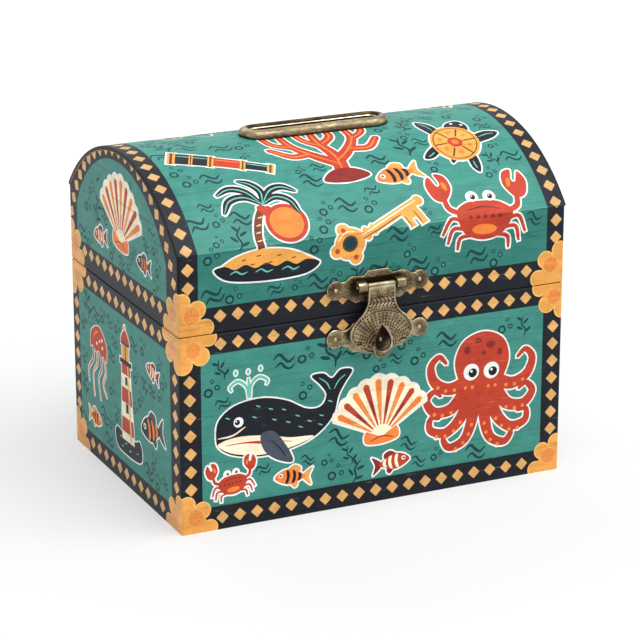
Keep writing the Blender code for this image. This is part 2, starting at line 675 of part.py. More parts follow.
def add_hinge(side, centre_x, boards, lid_boards, holder):
    """One hinge: the lid leaf has the two outer knuckles, the box leaf the middle one."""
    bronze = make_material(*BRONZE)
    half = HINGE_WIDTH / 2
    middle = HINGE_MIDDLE_LENGTH / 2
    outer_spans = [(-half, -middle - SIDE_CLEARANCE), (middle + SIDE_CLEARANCE, half)]
    leaves = (("lid", outer_spans, 1, lid_boards["lid_back_rail"], holder),
              ("box", [(-middle, middle)], -1, boards["back_panel"], None))
    for kind, spans, up, board, carrier in leaves:
        name = f"hinge_{side}_{kind}_leaf"
        nails = [(x, up * HINGE_NAIL_RISE) for x in (-HINGE_NAIL_SPREAD, HINGE_NAIL_SPREAD)]
        holes = [circle_loop(x, z, NAIL_HOLE_RADIUS, NAIL_SIDES) for x, z in nails]
        mesh = pressed_sheet(name, leaf_outline(spans, up), holes,
                             lambda x, z: -PAPER_GAP, lambda x, z: -PAPER_GAP - HINGE_SHEET)
        leaf = add_object(name, mesh, (centre_x, BACK_Y, HINGE_PIN_Z), bronze, carrier)
        for number, (low, high) in enumerate(spans):
            knuckle = add_barrel(f"{name}_knuckle_{number}", (centre_x + low, centre_x + high), HINGE_PIN_Y,
                                 HINGE_PIN_Z, HINGE_BARREL_RADIUS, HINGE_PIN_RADIUS, carrier)
            change_with(leaf, knuckle, 'UNION')
        for word, (x, z) in zip(("left", "right"), nails):
            add_nail(f"hinge_{side}_{kind}_nail_{word}", centre_x + x, HINGE_PIN_Z + z, "back", HINGE_SHEET,
                     board, bronze, carrier)
    add_pin(f"hinge_{side}_pin", (centre_x - half, centre_x + half), HINGE_PIN_Y, HINGE_PIN_Z,
            HINGE_PIN_RADIUS, bronze, None)


def build_chest():
    """Build every piece: the box, the lid on its hinge axis, the hasp and the hinges."""
    clear_scene()
    lid_axis = make_empty("lid_axis", (0, HINGE_PIN_Y, HINGE_PIN_Z))
    boards = add_box()
    lid_boards = add_lid(lid_axis)
    add_coin_slot_ring(lid_axis, make_material(*BRONZE))
    add_hasp(boards, lid_boards, lid_axis)
    add_hinge("left", -HINGE_SPREAD, boards, lid_boards, lid_axis)
    add_hinge("right", HINGE_SPREAD, boards, lid_boards, lid_axis)


build_chest()
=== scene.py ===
import math

import bpy
import numpy as np
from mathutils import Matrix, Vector
from mathutils.geometry import delaunay_2d_cdt


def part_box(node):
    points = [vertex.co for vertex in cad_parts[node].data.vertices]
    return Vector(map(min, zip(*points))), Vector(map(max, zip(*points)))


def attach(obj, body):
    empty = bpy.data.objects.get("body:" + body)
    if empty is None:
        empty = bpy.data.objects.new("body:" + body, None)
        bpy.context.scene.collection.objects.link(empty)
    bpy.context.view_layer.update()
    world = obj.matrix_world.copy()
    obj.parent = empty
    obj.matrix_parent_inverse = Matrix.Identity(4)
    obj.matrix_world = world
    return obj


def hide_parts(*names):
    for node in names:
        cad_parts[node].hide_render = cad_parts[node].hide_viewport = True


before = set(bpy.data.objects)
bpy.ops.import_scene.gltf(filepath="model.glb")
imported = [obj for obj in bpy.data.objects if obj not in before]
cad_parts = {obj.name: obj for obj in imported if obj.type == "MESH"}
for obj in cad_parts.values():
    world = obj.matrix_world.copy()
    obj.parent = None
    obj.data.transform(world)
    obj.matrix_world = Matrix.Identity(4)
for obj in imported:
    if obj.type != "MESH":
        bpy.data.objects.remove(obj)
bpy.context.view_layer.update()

# Studio: a white floor and backdrop, a soft lamp above the front and paler ones round it.
# The camera stands where the photograph was taken, and looks down on the chest a little.
MM = 0.001
CAMERA_AZIMUTH = math.radians(-25.236)
CAMERA_ELEVATION = math.radians(18.44)
CAMERA_DISTANCE = 859.3 * MM
CAMERA_SIDESTEP = 1.94 * MM
CAMERA_RISE = 41.79 * MM
CHEST_MIDDLE_Y = 0.75 * MM
FOCAL_LENGTH_PER_WIDTH = 4.292
FLOOR_HALF = 2.0
SKY_LIGHT = 0.37
FLOOR_GLOW = 0.465, 0.9
FLOOR_GLOW_REACH = 0.12, 0.7
FLOOR_PAPER = (0.93, 0.94, 0.95, 1.0)
FLOOR_SEEN = (0.365, 0.37, 0.375, 1.0)
WHITE = (1.0, 1.0, 1.0, 1.0)
# Azimuth and elevation in degrees, distance and width in metres, and power in watts
LAMPS = {"key_lamp": (20, 72, 1.1, 0.9, 11.8), "side_lamp": (-75, 25, 1.2, 0.8, 0.5),
         "right_lamp": (70, 35, 1.2, 0.8, 3.0), "back_lamp": (190, 45, 1.3, 0.8, 3.0)}


def look_direction(azimuth, elevation):
    """Unit vector from the chest to a place seen at these angles, azimuth 0 being the front."""
    level = math.cos(elevation)
    return Vector((math.sin(azimuth) * level, -math.cos(azimuth) * level, math.sin(elevation)))


def feed(tree, node, sockets):
    """Give a shader node's sockets plain values, or links from the outputs of other nodes."""
    for socket, value in sockets.items():
        if isinstance(value, bpy.types.NodeSocket):
            tree.links.new(value, node.inputs[socket])
        else:
            node.inputs[socket].default_value = value


def add_node(tree, kind, sockets=None, **settings):
    """Add a shader node with its settings and what its sockets take."""
    made = tree.nodes.new(kind)
    for setting, value in settings.items():
        setattr(made, setting, value)
    feed(tree, made, sockets or {})
    return made


def calculate(tree, operation, first, second=0.0, third=0.0):
    """One sum on values."""
    made = add_node(tree, "ShaderNodeMath", {0: first, 1: second, 2: third}, operation=operation)
    return made.outputs[0]


def ramp(tree, value, low, high, start=0.0, end=1.0):
    """A value carried from one range to another and held at its ends."""
    return add_node(tree, "ShaderNodeMapRange", {"Value": value, "From Min": low, "From Max": high,
                                                 "To Min": start, "To Max": end}).outputs["Result"]


def blend(tree, share, first, second):
    """A colour between two others."""
    made = add_node(tree, "ShaderNodeMix", {"Factor": share, 6: first, 7: second}, data_type='RGBA')
    return made.outputs[2]


def new_material(name):
    """A material made of nodes, with its tree and its shader."""
    material = bpy.data.materials.new(name)
    material.use_nodes = True
    return material, material.node_tree, material.node_tree.nodes["Principled BSDF"]


def put_in_scene(name, data):
    """An object for a mesh, lamp or camera, at the origin."""
    made = bpy.data.objects.new(name, data)
    bpy.context.scene.collection.objects.link(made)
    return made


def seen_by_lens(tree):
    """1 for camera, glossy and transmission rays, which see the white studio, and else 0."""
    path = add_node(tree, "ShaderNodeLightPath").outputs
    seen = calculate(tree, 'MAXIMUM', path["Is Camera Ray"], path["Is Glossy Ray"])
    return calculate(tree, 'MAXIMUM', seen, path["Is Transmission Ray"])


world = bpy.data.worlds.new("studio")
bpy.context.scene.world = world
world.use_nodes = True
tree = world.node_tree
sky = tree.nodes["Background"]
feed(tree, sky, {"Color": WHITE, "Strength": SKY_LIGHT})
backdrop = add_node(tree, "ShaderNodeBackground", {"Color": WHITE, "Strength": 1.0})
chosen = add_node(tree, "ShaderNodeMixShader", {"Fac": seen_by_lens(tree), 1: sky.outputs[0],
                                                2: backdrop.outputs[0]})
feed(tree, tree.nodes["World Output"], {"Surface": chosen.outputs[0]})

floor_paint, tree, shader = new_material("white_floor")
lens_share = seen_by_lens(tree)
place = add_node(tree, "ShaderNodeTexCoord").outputs["Object"]
away = add_node(tree, "ShaderNodeVectorMath", {0: place}, operation='LENGTH').outputs["Value"]
glow = ramp(tree, away, *FLOOR_GLOW_REACH, *FLOOR_GLOW)
feed(tree, shader, {"Base Color": blend(tree, lens_share, FLOOR_PAPER, FLOOR_SEEN),
                    "Roughness": 0.7, "Specular IOR Level": 0.2, "Emission Color": WHITE,
                    "Emission Strength": calculate(tree, 'MULTIPLY', glow, lens_share)})
floor_mesh = bpy.data.meshes.new("floor")
floor_mesh.from_pydata([(x * FLOOR_HALF, y * FLOOR_HALF, 0)
                        for x, y in ((-1, -1), (1, -1), (1, 1), (-1, 1))], [], [(0, 1, 2, 3)])
floor_mesh.materials.append(floor_paint)
put_in_scene("floor", floor_mesh)

for name, (azimuth, elevation, distance, size, watts) in LAMPS.items():
    light = bpy.data.lights.new(name, 'AREA')
    light.shape, light.size, light.energy = 'DISK', size, watts
    lamp = put_in_scene(name, light)
    aim = look_direction(math.radians(azimuth), math.radians(elevation))
    lamp.location = aim * distance
    lamp.rotation_euler = aim.to_track_quat('Z', 'Y').to_euler()

lens = bpy.data.cameras.new("camera")
lens.lens = lens.sensor_width * FOCAL_LENGTH_PER_WIDTH
camera = put_in_scene("camera", lens)
back = look_direction(CAMERA_AZIMUTH, CAMERA_ELEVATION)
right = Vector((math.cos(CAMERA_AZIMUTH), math.sin(CAMERA_AZIMUTH), 0))
camera.location = (back * CAMERA_DISTANCE + right * CAMERA_SIDESTEP
                   + back.cross(right) * CAMERA_RISE + Vector((0, CHEST_MIDDLE_Y, 0)))
camera.rotation_euler = (math.pi / 2 - CAMERA_ELEVATION, 0, CAMERA_AZIMUTH)
bpy.context.scene.camera = camera
bpy.context.scene.view_settings.view_transform = 'Standard'


# Box prints: four sheets of varnished paper, printed with the look of a wood block, glued on the
# walls and wrapped round their rounded edges and over the rim. A dark band with lozenges frames a
# teal field of sea pictures, and scalloped corner plates are printed over its corners.
PAPER_LIFT = 0.08 * MM
EDGE_ROUND = 0.6 * MM
RIM_ROUND = 0.22 * MM
WRAP_FOLDS = 4
QUARTER = math.pi / 2
BOX_WRAPS = math.radians(45), QUARTER
front_low, front_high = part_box("front_panel")
back_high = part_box("back_panel")[1]
HALF_WIDTH = front_high.x / MM
HALF_DEPTH = (back_high.y - front_low.y) / 2 / MM
MIDDLE = Vector((0, (back_high.y + front_low.y) / 2, 0))
BOX_TOP = front_high.z / MM
FACE_OUT = {"front": (0, -1, 0), "back": (0, 1, 0), "left": (-1, 0, 0), "right": (1, 0, 0)}


# A sheet is drawn flat in millimetres as outlines with an ink each, later ones over earlier ones,
# then cut into triangles along them and wrapped round its boards, a hair above them
def ink(red, green, blue):
    """An ink as light, from the 0 to 255 numbers of a colour card."""
    card = np.array((red, green, blue)) / 255
    return np.where(card <= 0.04045, card / 12.92, ((card + 0.055) / 1.055) ** 2.4)


# Some inks are painted light: the near-black ink and the seam's dark line are painted shade.
INKS = {
    # The rails' teal and the top's lozenge ink are darker copies of their inks, as painted shade.
    "teal": ink(65, 139, 127), "deep_teal": ink(22, 62, 68), "pale_teal": ink(110, 196, 176),
    # The pale crease ink is worn ink with a painted highlight.
    "rail_teal": ink(52, 124, 113), "worn": ink(112, 174, 162), "navy": ink(28, 31, 39),
    "slate": ink(74, 80, 94), "dusk": ink(52, 54, 69), "soot": ink(10, 9, 13),
    "amber": ink(235, 165, 80), "rim": ink(250, 194, 114), "rosette": ink(234, 149, 74),
    "rosette_line": ink(227, 134, 66), "lozenge": ink(226, 174, 106),
    "sun_lozenge": ink(207, 166, 108), "orange": ink(242, 132, 58), "red": ink(190, 66, 44),
    "deep_red": ink(134, 44, 40), "brown": ink(112, 58, 40), "sand": ink(226, 196, 130),
    "cream": ink(253, 240, 208), "white": ink(242, 241, 237),
}
# The narrow walls and the lid's ends show their light inks mixed towards warm white: a painted
# sheen.
SIDE_SHEEN = 0.16
SIDE_SHEEN_TINT = ink(255, 228, 185)
for name in ("amber", "rim", "rosette", "rosette_line", "lozenge"):
    INKS["side_" + name] = INKS[name] * (1 - SIDE_SHEEN) + SIDE_SHEEN_TINT * SIDE_SHEEN
INK_NAMES = list(INKS)
CUT_TOLERANCE = 0.0005
SHEET_SPAN = 0.130


def winds_round(outline, points):
    """Which points the outline goes round, from its edges that cross a level line to the right."""
    result = np.zeros(len(points), bool)
    near = np.all((points >= outline.min(0)) & (points <= outline.max(0)), axis=1)
    x, y = points[near, 0, None], points[near, 1, None]
    (x1, y1), (x2, y2) = outline.T, np.roll(outline, -1, 0).T
    side = (x2 - x1) * (y - y1) - (x - x1) * (y2 - y1)
    climbs = (y1 <= y) & (y2 > y) & (side > 0)
    falls = (y1 > y) & (y2 <= y) & (side < 0)
    result[near] = climbs.sum(1) != falls.sum(1)
    return result


def cut_sheet(edge, shapes, folds_across=(), folds_up=(), inner=()):
    """Triangles of a flat shape and the ink of each, cut along every outline and fold line.

    Each triangle has the ink of the last outline that goes round its middle; None cuts a hole.
    Points given as inner only divide the triangles.
    """
    low, high = edge.min(0), edge.max(0)
    loops = [edge] + [outline for outline, _ in shapes]
    lines = [np.array([(x, low[1]), (x, high[1])]) for x in folds_across]
    lines += [np.array([(low[0], y), (high[0], y)]) for y in folds_up]
    edges, first = [], 0
    for loop in loops + lines:
        order = np.arange(first, first + len(loop))
        joined = np.column_stack([order, np.roll(order, -1)])
        edges.append(joined if len(loop) > 2 else joined[:1])
        first += len(loop)
    points = np.vstack(loops + lines + ([inner] if len(inner) else []))
    flat, _, faces, _, _, _ = delaunay_2d_cdt([Vector(point) for point in points],
                                              [tuple(pair) for pair in np.vstack(edges).tolist()],
                                              [], 0, CUT_TOLERANCE, False)
    flat, faces = np.array([tuple(point) for point in flat]), np.array(faces)
    middles = flat[faces].mean(axis=1)
    inside = winds_round(edge, middles)
    faces, middles = faces[inside], middles[inside]
    chosen = np.zeros(len(faces), int)
    for outline, name in shapes:
        chosen[winds_round(outline, middles)] = -1 if name is None else INK_NAMES.index(name)
    faces, chosen = faces[chosen >= 0], chosen[chosen >= 0]
    used, faces = np.unique(faces, return_inverse=True)
    flat, faces = flat[used], faces.reshape(-1, 3)
    a, b, c = flat[faces].transpose(1, 0, 2)
    (run_b, rise_b), (run_c, rise_c) = (b - a).T, (c - a).T
    backwards = run_b * rise_c < run_c * rise_b
    return flat, np.where(backwards[:, None], faces[:, ::-1], faces), chosen


def new_piece(name, places, faces, material, body):
    """A smooth piece from its points and faces, which rides on a body."""
    mesh = bpy.data.meshes.new(name)
    mesh.from_pydata(places, [], faces)
    mesh.shade_smooth()
    mesh.materials.append(material)
    piece = put_in_scene(name, mesh)
    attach(piece, body)
    return piece


def lay_sheet(name, body, cut, surface, paper):
    """Wrap a cut print on its boards: surface gives each flat point's place in the chest."""
    flat, faces, chosen = cut
    sheet = new_piece(name, surface(flat * MM), faces, paper, body)
    colours = np.ones((len(faces), 4), np.float32)
    colours[:, :3] = np.array([INKS[ink_name] for ink_name in INK_NAMES])[chosen]
    inked = sheet.data.attributes.new("ink", 'FLOAT_COLOR', 'CORNER')
    inked.data.foreach_set("color", np.repeat(colours, 3, 0).ravel())
    corners = ((flat - flat.min(0)) * MM / SHEET_SPAN)[faces].astype(np.float32)
    sheet.data.uv_layers.new(name="OFBake").uv.foreach_set("vector", corners.ravel())


def new_look(name, inputs):
    """An empty node group for a finish, with its input's and its output's nodes. It gives a colour,
    a roughness and a height."""
    group = bpy.data.node_groups.new(name, "ShaderNodeTree")
    outputs = {"Colour": "Color", "Roughness": "Float", "Height": "Float"}
    for direction, sockets in (("INPUT", inputs), ("OUTPUT", outputs)):
        for label, kind in sockets.items():
            group.interface.new_socket(label, in_out=direction, socket_type="NodeSocket" + kind)
    return group, group.nodes.new("NodeGroupInput").outputs, group.nodes.new("NodeGroupOutput")


def stretched_noise(tree, place, stretch, detail=2.0):
    """Noise drawn out along a piece: stretch is how often it changes in a unit each way."""
    scaled = add_node(tree, "ShaderNodeVectorMath", {0: place, 1: stretch}, operation='MULTIPLY')
    return add_node(tree, "ShaderNodeTexNoise", {"Vector": scaled.outputs[0], "Scale": 1.0,
                                                 "Detail": detail}).outputs["Fac"]


def dress(tree, shader, look, relief, strength, colour=None):
    """Feed a shader from a finish: its colour, its roughness, and its height as a bump."""
    bump = add_node(tree, "ShaderNodeBump", {"Height": look["Height"], "Distance": relief * MM,
                                             "Strength": strength})
    feed(tree, shader, {"Base Color": look["Colour"] if colour is None else colour,
                        "Roughness": look["Roughness"], "Normal": bump.outputs["Normal"]})


# How often each mark of the print changes in a millimetre along the sheet, across it, and from
# one sheet to the next
STREAKS = 0.09, 2.1, 1.0
BLOTCHES = 0.22, 0.3, 1.0
GRAINS = 2.4, 3.4, 1.0
PLANKS = 0.005, 0.21, 1.0
SCRATCHES = 0.12, 3.2, 7.0
SHEET_STRIDE = 13.7
DARK_TO_LIGHT_INK = 0.2, 0.8
RUBBED_PAPER = (0.62, 0.66, 0.62, 1.0)
block_print, given, result = new_look("wood_block_print", {"Ink": "Color", "Place": "Vector"})
tree, place = block_print, given["Place"]
redness = add_node(tree, "ShaderNodeSeparateColor", {"Color": given["Ink"]}).outputs["Red"]
blotches = stretched_noise(tree, place, BLOTCHES, 4.0)
grains = stretched_noise(tree, place, GRAINS)
planks = stretched_noise(tree, place, PLANKS, 1.0)
streaks = ramp(tree, stretched_noise(tree, place, STREAKS, 4.0), 0.53, 0.68)
streaks = calculate(tree, 'MULTIPLY', streaks, ramp(tree, redness, *DARK_TO_LIGHT_INK, 1.0, 0.4))
plank_tone = calculate(tree, 'MULTIPLY', ramp(tree, planks, 0.498, 0.502, -1.0, 1.0),
                       ramp(tree, redness, *DARK_TO_LIGHT_INK, 0.012, 0.04))
plank_line = calculate(tree, 'ABSOLUTE', calculate(tree, 'SUBTRACT', planks, 0.5))
plank_line = ramp(tree, plank_line, 0.003, 0.007, 1.0, 0.0)
scratches = ramp(tree, stretched_noise(tree, place, SCRATCHES, 3.0), 0.66, 0.74)
scratches = calculate(tree, 'MULTIPLY', scratches, ramp(tree, blotches, 0.45, 0.62, 0.0, 0.3))
value = calculate(tree, 'MULTIPLY_ADD', streaks, -0.17, 0.93)
value = calculate(tree, 'MULTIPLY_ADD', plank_line, -0.2, value)
for mark in (plank_tone, ramp(tree, blotches, 0.3, 0.7, -0.07, 0.12),
             ramp(tree, grains, 0.3, 0.7, -0.07, 0.09)):
    value = calculate(tree, 'ADD', value, mark)
toned = add_node(tree, "ShaderNodeHueSaturation", {"Color": given["Ink"], "Value": value})
feed(tree, result, {"Colour": blend(tree, scratches, toned.outputs["Color"], RUBBED_PAPER),
                    "Roughness": ramp(tree, grains, 0.3, 0.7, 0.38, 0.52),
                    "Height": calculate(tree, 'MULTIPLY_ADD', streaks, -0.6, grains)})


def printed_paper(name):
    """Varnished paper: the sheet's inks with the wood-block look, each sheet on its own stretch."""
    material, tree, shader = new_material(name)
    stretch = SHEET_STRIDE * len(bpy.data.materials)
    sheet = add_node(tree, "ShaderNodeUVMap", uv_map="OFBake")
    in_mm = SHEET_SPAN / MM
    moved = add_node(tree, "ShaderNodeMapping", {"Vector": sheet.outputs["UV"],
                                                 "Scale": (in_mm, in_mm, 1.0),
                                                 "Location": (0.0, 0.0, stretch)})
    inked = add_node(tree, "ShaderNodeAttribute", attribute_name="ink")
    printed = add_node(tree, "ShaderNodeGroup", node_tree=block_print)
    feed(tree, printed, {"Ink": inked.outputs["Color"], "Place": moved.outputs["Vector"]})
    shader.inputs["Specular IOR Level"].default_value = 0.13
    dress(tree, shader, printed.outputs, 0.012, 0.6)
    return material


def wrapped(along, low, high, edge):
    """A distance along a sheet as its place on the flat and its angle round a rounded edge."""
    flat = np.clip(along, low + edge, high - edge)
    return flat, (along - flat) / (edge + PAPER_LIFT)


def wall_surface(face, half, low, high):
    """A wall with rounded edges: the nearest point of its flat core, plus the upright edge's radius
    along a level direction that leans to the side by one arc's angle, and from there back in and
    up round the rim's smaller arc."""
    out = np.array(FACE_OUT[face])
    across, up = np.array((-out[1], out[0], 0)), np.array((0, 0, 1))
    distance = (HALF_DEPTH if out[1] else HALF_WIDTH) * MM
    radius, rim = EDGE_ROUND + PAPER_LIFT, RIM_ROUND + PAPER_LIFT

    def surface(flat):
        x, lean = wrapped(flat[:, :1], -half * MM, half * MM, EDGE_ROUND)
        z, tilt = wrapped(flat[:, 1:], low * MM, high * MM, RIM_ROUND)
        level = np.sin(lean) * across + np.cos(lean) * out
        core = np.array(MIDDLE) + out * (distance - EDGE_ROUND) + x * across + z * up
        return core + (radius - rim + rim * np.cos(tilt)) * level + rim * np.sin(tilt) * up
    return surface


def frame_of(low, high):
    """A rectangle from its lower left to its upper right corner."""
    (left, foot), (right, top) = low, high
    return np.array([(left, foot), (right, foot), (right, top), (left, top)], float)


def panel(name, low, high):
    """A rectangle in an ink."""
    return frame_of(low, high), name


def folds(end, direction, angle, edge=EDGE_ROUND):
    """Where a sheet bends round a rounded edge, from its flat's end on."""
    steps = (edge + PAPER_LIFT) * angle * np.arange(WRAP_FOLDS) / WRAP_FOLDS
    return end + direction * (steps - edge) / MM


def side_folds(half):
    """Where a sheet bends round both upright edges of its wall."""
    return np.concatenate([folds(-half, -1, QUARTER / 2), folds(half, 1, QUARTER / 2)])


def wall_outline(half, low, high, foot_wrap, top_wrap):
    """A wall sheet's rectangle, with half a corner's turn at its sides and its foot's and top's."""
    side = half + ((EDGE_ROUND + PAPER_LIFT) * QUARTER / 2 - EDGE_ROUND) / MM
    fall, rise = (((RIM_ROUND + PAPER_LIFT) * wrap - RIM_ROUND) / MM
                  for wrap in (foot_wrap, top_wrap))
    return frame_of((-side, low - fall), (side, high + rise if top_wrap else high))


def lay_wall(name, body, face, half, span, wraps, shapes):
    """Cut a wall's print and wrap it on the wall."""
    low, high = span
    edge = wall_outline(half, low, high, *wraps)
    foot_wrap, top_wrap = wraps
    up = folds(low, -1, foot_wrap, RIM_ROUND)
    if top_wrap:
        up = np.concatenate([up, folds(high, 1, top_wrap, RIM_ROUND)])
    else:
        high += RIM_ROUND / MM
    cut = cut_sheet(edge, shapes, side_folds(half), up)
    lay_sheet(name, body, cut, wall_surface(face, half, low, high), printed_paper(name + "_paper"))


# Bands of lozenges and the corner plates. A plate's lobes go from its level edge to the upright
# edge: distance in from the upright edge, height and radius, and last its rosette
BOX_TOP_LOBES = ((9.1, 59.4, 2.6), (6.5, 54.2, 2.9), (1.1, 52.1, 3.0), (4.2, 56.2, 2.4))
BOX_FOOT_LOBES = ((8.7, 1.2, 2.6), (6.4, 6.9, 2.75), (1.6, 9.2, 2.7), (4.2, 4.9, 2.55))
RIGHT_PLATES_OUT = 1.2, 0.7
PLATE_MARGIN = 3
ROSETTE_PETALS = 8
SIDE_STRETCH = 1.1
SIDE_LOZENGE = 2.1, 2.0
PLATE_RIM = 0.4
ROSETTE_RINGS = (0.16, "rim"), (0, "rosette_line"), (-0.22, "rosette")
FRONT_FIELD = (-56.0, 7.4), (56.0, 54.2)
SIDE_FIELD = (-37.8, 7.0), (36.3, 54.0)
ROW = np.linspace(-49.8, 49.8, 19)
SIDE_ROW = np.linspace(-28.75, 28.75, 11)
ROW_HEIGHTS = 3.75, 57.1
SIDE_ROW_HEIGHTS = 3.8, 56.8
BOX_COLUMN = np.linspace(13.8, 46.8, 7)
COLUMN_OUT = 59.5
SIDE_COLUMN_OUT = 39.9
# Heights of a dark line of painted shade at the seam, on the front and back and on the sides.
SEAM_SHADE_LINE = BOX_TOP - 0.42, BOX_TOP - 0.26
SIDE_SEAM_SHADE = BOX_TOP - 0.2, BOX_TOP + 2


def turned(points, degrees):
    """Points turned about the origin."""
    angle = math.radians(degrees)
    return np.asarray(points) @ np.array([[math.cos(angle), math.sin(angle)],
                                          [-math.sin(angle), math.cos(angle)]])


def oval(x, y, across, up=None, sides=24, turn=0.0):
    """An ellipse by its half axes, turned by an angle in degrees."""
    angle = 2 * math.pi * np.arange(sides) / sides
    points = np.column_stack([across * np.cos(angle), (up or across) * np.sin(angle)])
    return turned(points, turn) + (x, y)


def placed(motif, x, y, scale=1.0, turn=0.0, flip=False):
    """A motif, a list of outlines with their inks, moved to its place on a sheet."""
    mirror = (-1 if flip else 1, 1)
    return [(turned(outline * mirror * scale, turn) + (x, y), name) for outline, name in motif]


def with_side_sheen(shapes):
    """The shapes with each light ink mixed towards warm white, a painted sheen for narrow walls."""
    return [(outline, "side_" + name if "side_" + name in INKS else name)
            for outline, name in shapes]


def lozenges(centres, half=2.0, half_up=None, name="lozenge"):
    """A row of lozenges, each an upright diamond with the tips worn off."""
    tip, worn = 0.93, 0.07
    tips = np.array([(tip, -worn), (tip, worn), (worn, tip), (-worn, tip),
                     (-tip, worn), (-tip, -worn), (-worn, -tip), (worn, -tip)])
    return [(tips * (half, half_up or half) + centre, name) for centre in centres]


def column_pair(distance, heights, half=2.0, name="lozenge"):
    """Lozenges up both sides of a wall."""
    return lozenges([(side * distance, up) for side in (-1, 1) for up in heights], half, 2.05, name)


def corner_plate(half, side, lobes, level, stretch=1.0):
    """A corner plate: a disc for each lobe, filled in as far as the corner, and a rosette on top.

    side is -1 or 1 for the upright edge it sits at and level the height of its level edge. The
    discs are a little larger in a light ink, which shows as a rim round the lobes.
    """
    *discs, (rosette_in, rosette_up, radius) = lobes
    spots = [(side * (half - inwards * stretch), up, size) for inwards, up, size in discs]
    edge = side * (half + PLATE_MARGIN)
    plate = [(oval(x, up, size - inset, sides=28), name)
             for inset, name in ((0, "rim"), (PLATE_RIM, "amber")) for x, up, size in spots]
    plate.append((np.array([(edge, level), (spots[0][0], level)] + [(x, up) for x, up, _ in spots]
                           + [(edge, spots[-1][1])]), "amber"))
    centre = (side * (half - rosette_in * stretch), rosette_up)
    plate += [(oval(*centre, radius * stretch + more, radius + more, 32), name)
              for more, name in ROSETTE_RINGS]
    petal = oval(radius * 0.56, 0, radius * 0.27, radius * 0.1, 10)
    plate += [(turned(petal, turn) * (stretch, 1) + centre, "rosette_line")
              for turn in np.arange(ROSETTE_PETALS) * 360 / ROSETTE_PETALS]
    plate.append((oval(*centre, 0.42, sides=10), "rosette_line"))
    return plate


def plate_pair(half, lobes, level, stretch=1.0, out=0.0):
    """The corner plates at both ends of a level edge, the right one printed a little out."""
    return (corner_plate(half, -1, lobes, level, stretch)
            + corner_plate(half + out, 1, lobes, level, stretch))


def sheet_ground(name="navy"):
    """The ink under everything else."""
    return [panel(name, (-100, -100), (100, 200))]


def level_strip(low, high, name):
    """A strip of ink right across a sheet, from one height to another."""
    return [panel(name, (-70, low), (70, high))]


front_frame = sheet_ground() + [panel("teal", *FRONT_FIELD)]
front_frame += lozenges([(x, up) for x in ROW for up in ROW_HEIGHTS])
# Just under the seam, a dark line of painted shade.
front_frame += column_pair(COLUMN_OUT, BOX_COLUMN) + level_strip(*SEAM_SHADE_LINE, "dusk")
top_out, foot_out = RIGHT_PLATES_OUT
front_corners = plate_pair(HALF_WIDTH, BOX_TOP_LOBES, BOX_TOP + PLATE_MARGIN, out=top_out)
front_corners += plate_pair(HALF_WIDTH, BOX_FOOT_LOBES, -PLATE_MARGIN, out=foot_out)
side_frame = sheet_ground() + [panel("teal", *SIDE_FIELD)]
side_frame += lozenges([(x, up) for x in SIDE_ROW for up in SIDE_ROW_HEIGHTS], *SIDE_LOZENGE)
side_frame += column_pair(SIDE_COLUMN_OUT, BOX_COLUMN, SIDE_LOZENGE[0])
# Over the side walls' rim, at the seam, a black strip of painted shade.
side_frame = with_side_sheen(side_frame) + level_strip(*SIDE_SEAM_SHADE, "soot")
side_corners = plate_pair(HALF_DEPTH, BOX_TOP_LOBES, BOX_TOP + PLATE_MARGIN, SIDE_STRETCH)
side_corners += plate_pair(HALF_DEPTH, BOX_FOOT_LOBES, -PLATE_MARGIN, SIDE_STRETCH)
side_corners = with_side_sheen(side_corners)


# Pictures of sea creatures and a lighthouse, drawn as cut-outs. Each is a list of outlines in
# millimetres about its own middle, with an ink for every outline.
CURVE_STEPS = 7
MITRE_LIMIT = 0.45
BORDER = 0.5
THIN_BORDER = 0.4


def smooth(points, closed=True):
    """A Catmull-Rom curve through points: each span is a cubic of its ends and their neighbours."""
    points = np.asarray(points, float)
    if closed:
        a, b, c, d = (np.roll(points, shift, 0) for shift in (1, 0, -1, -2))
    else:
        ends = np.vstack([2 * points[0] - points[1], points, 2 * points[-1] - points[-2]])
        a, b, c, d = ends[:-3], ends[1:-2], ends[2:-1], ends[3:]
    t = (np.arange(CURVE_STEPS) / CURVE_STEPS)[None, :, None]
    a, b, c, d = (part[:, None, :] for part in (a, b, c, d))
    curve = b + 0.5 * t * (c - a + t * (2 * a - 5 * b + 4 * c - d + t * (3 * (b - c) + d - a)))
    curve = curve.reshape(-1, 2)
    return curve if closed else np.vstack([curve, points[-1]])


def sides_of(path, half):
    """Both sides of a path, half its width away from it, the second one backwards."""
    along = np.gradient(path, axis=0)
    normal = np.column_stack([-along[:, 1], along[:, 0]]) / np.hypot(*along.T)[:, None]
    return path + normal * half, (path - normal * half)[::-1]


def stroke(points, width, tip=0.35):
    """A brush stroke along a smooth path: widest in the middle, tip times as wide at its ends."""
    path = smooth(points, False)
    share = np.linspace(0, 1, len(path))
    fullness = tip + (1 - tip) * np.sin(math.pi * share) ** 0.6
    return np.vstack(sides_of(path, width / 2 * fullness[:, None]))


def taper(points, thick, thin):
    """A smooth path whose width falls evenly from one end to the other, round at the tip."""
    path = smooth(points, False)
    there, back_again = sides_of(path, np.linspace(thick, thin, len(path))[:, None] / 2)
    last = path[-1] - path[-2]
    return np.vstack([there, path[-1] + last / np.hypot(*last) * thin * 0.45, back_again])


def blob(name, points):
    """A smooth closed outline in an ink."""
    return smooth(points), name


def line(name, *drawn):
    """A brush stroke in an ink."""
    return stroke(*drawn), name


def dab(name, *drawn, **more):
    """An oval in an ink."""
    return oval(*drawn, **more), name


def anticlockwise(outline):
    """The outline turned so that the area it encloses counts as positive."""
    after = np.roll(outline, -1, 0)
    area = np.sum(outline[:, 0] * after[:, 1] - outline[:, 1] * after[:, 0])
    return outline if area > 0 else outline[::-1]


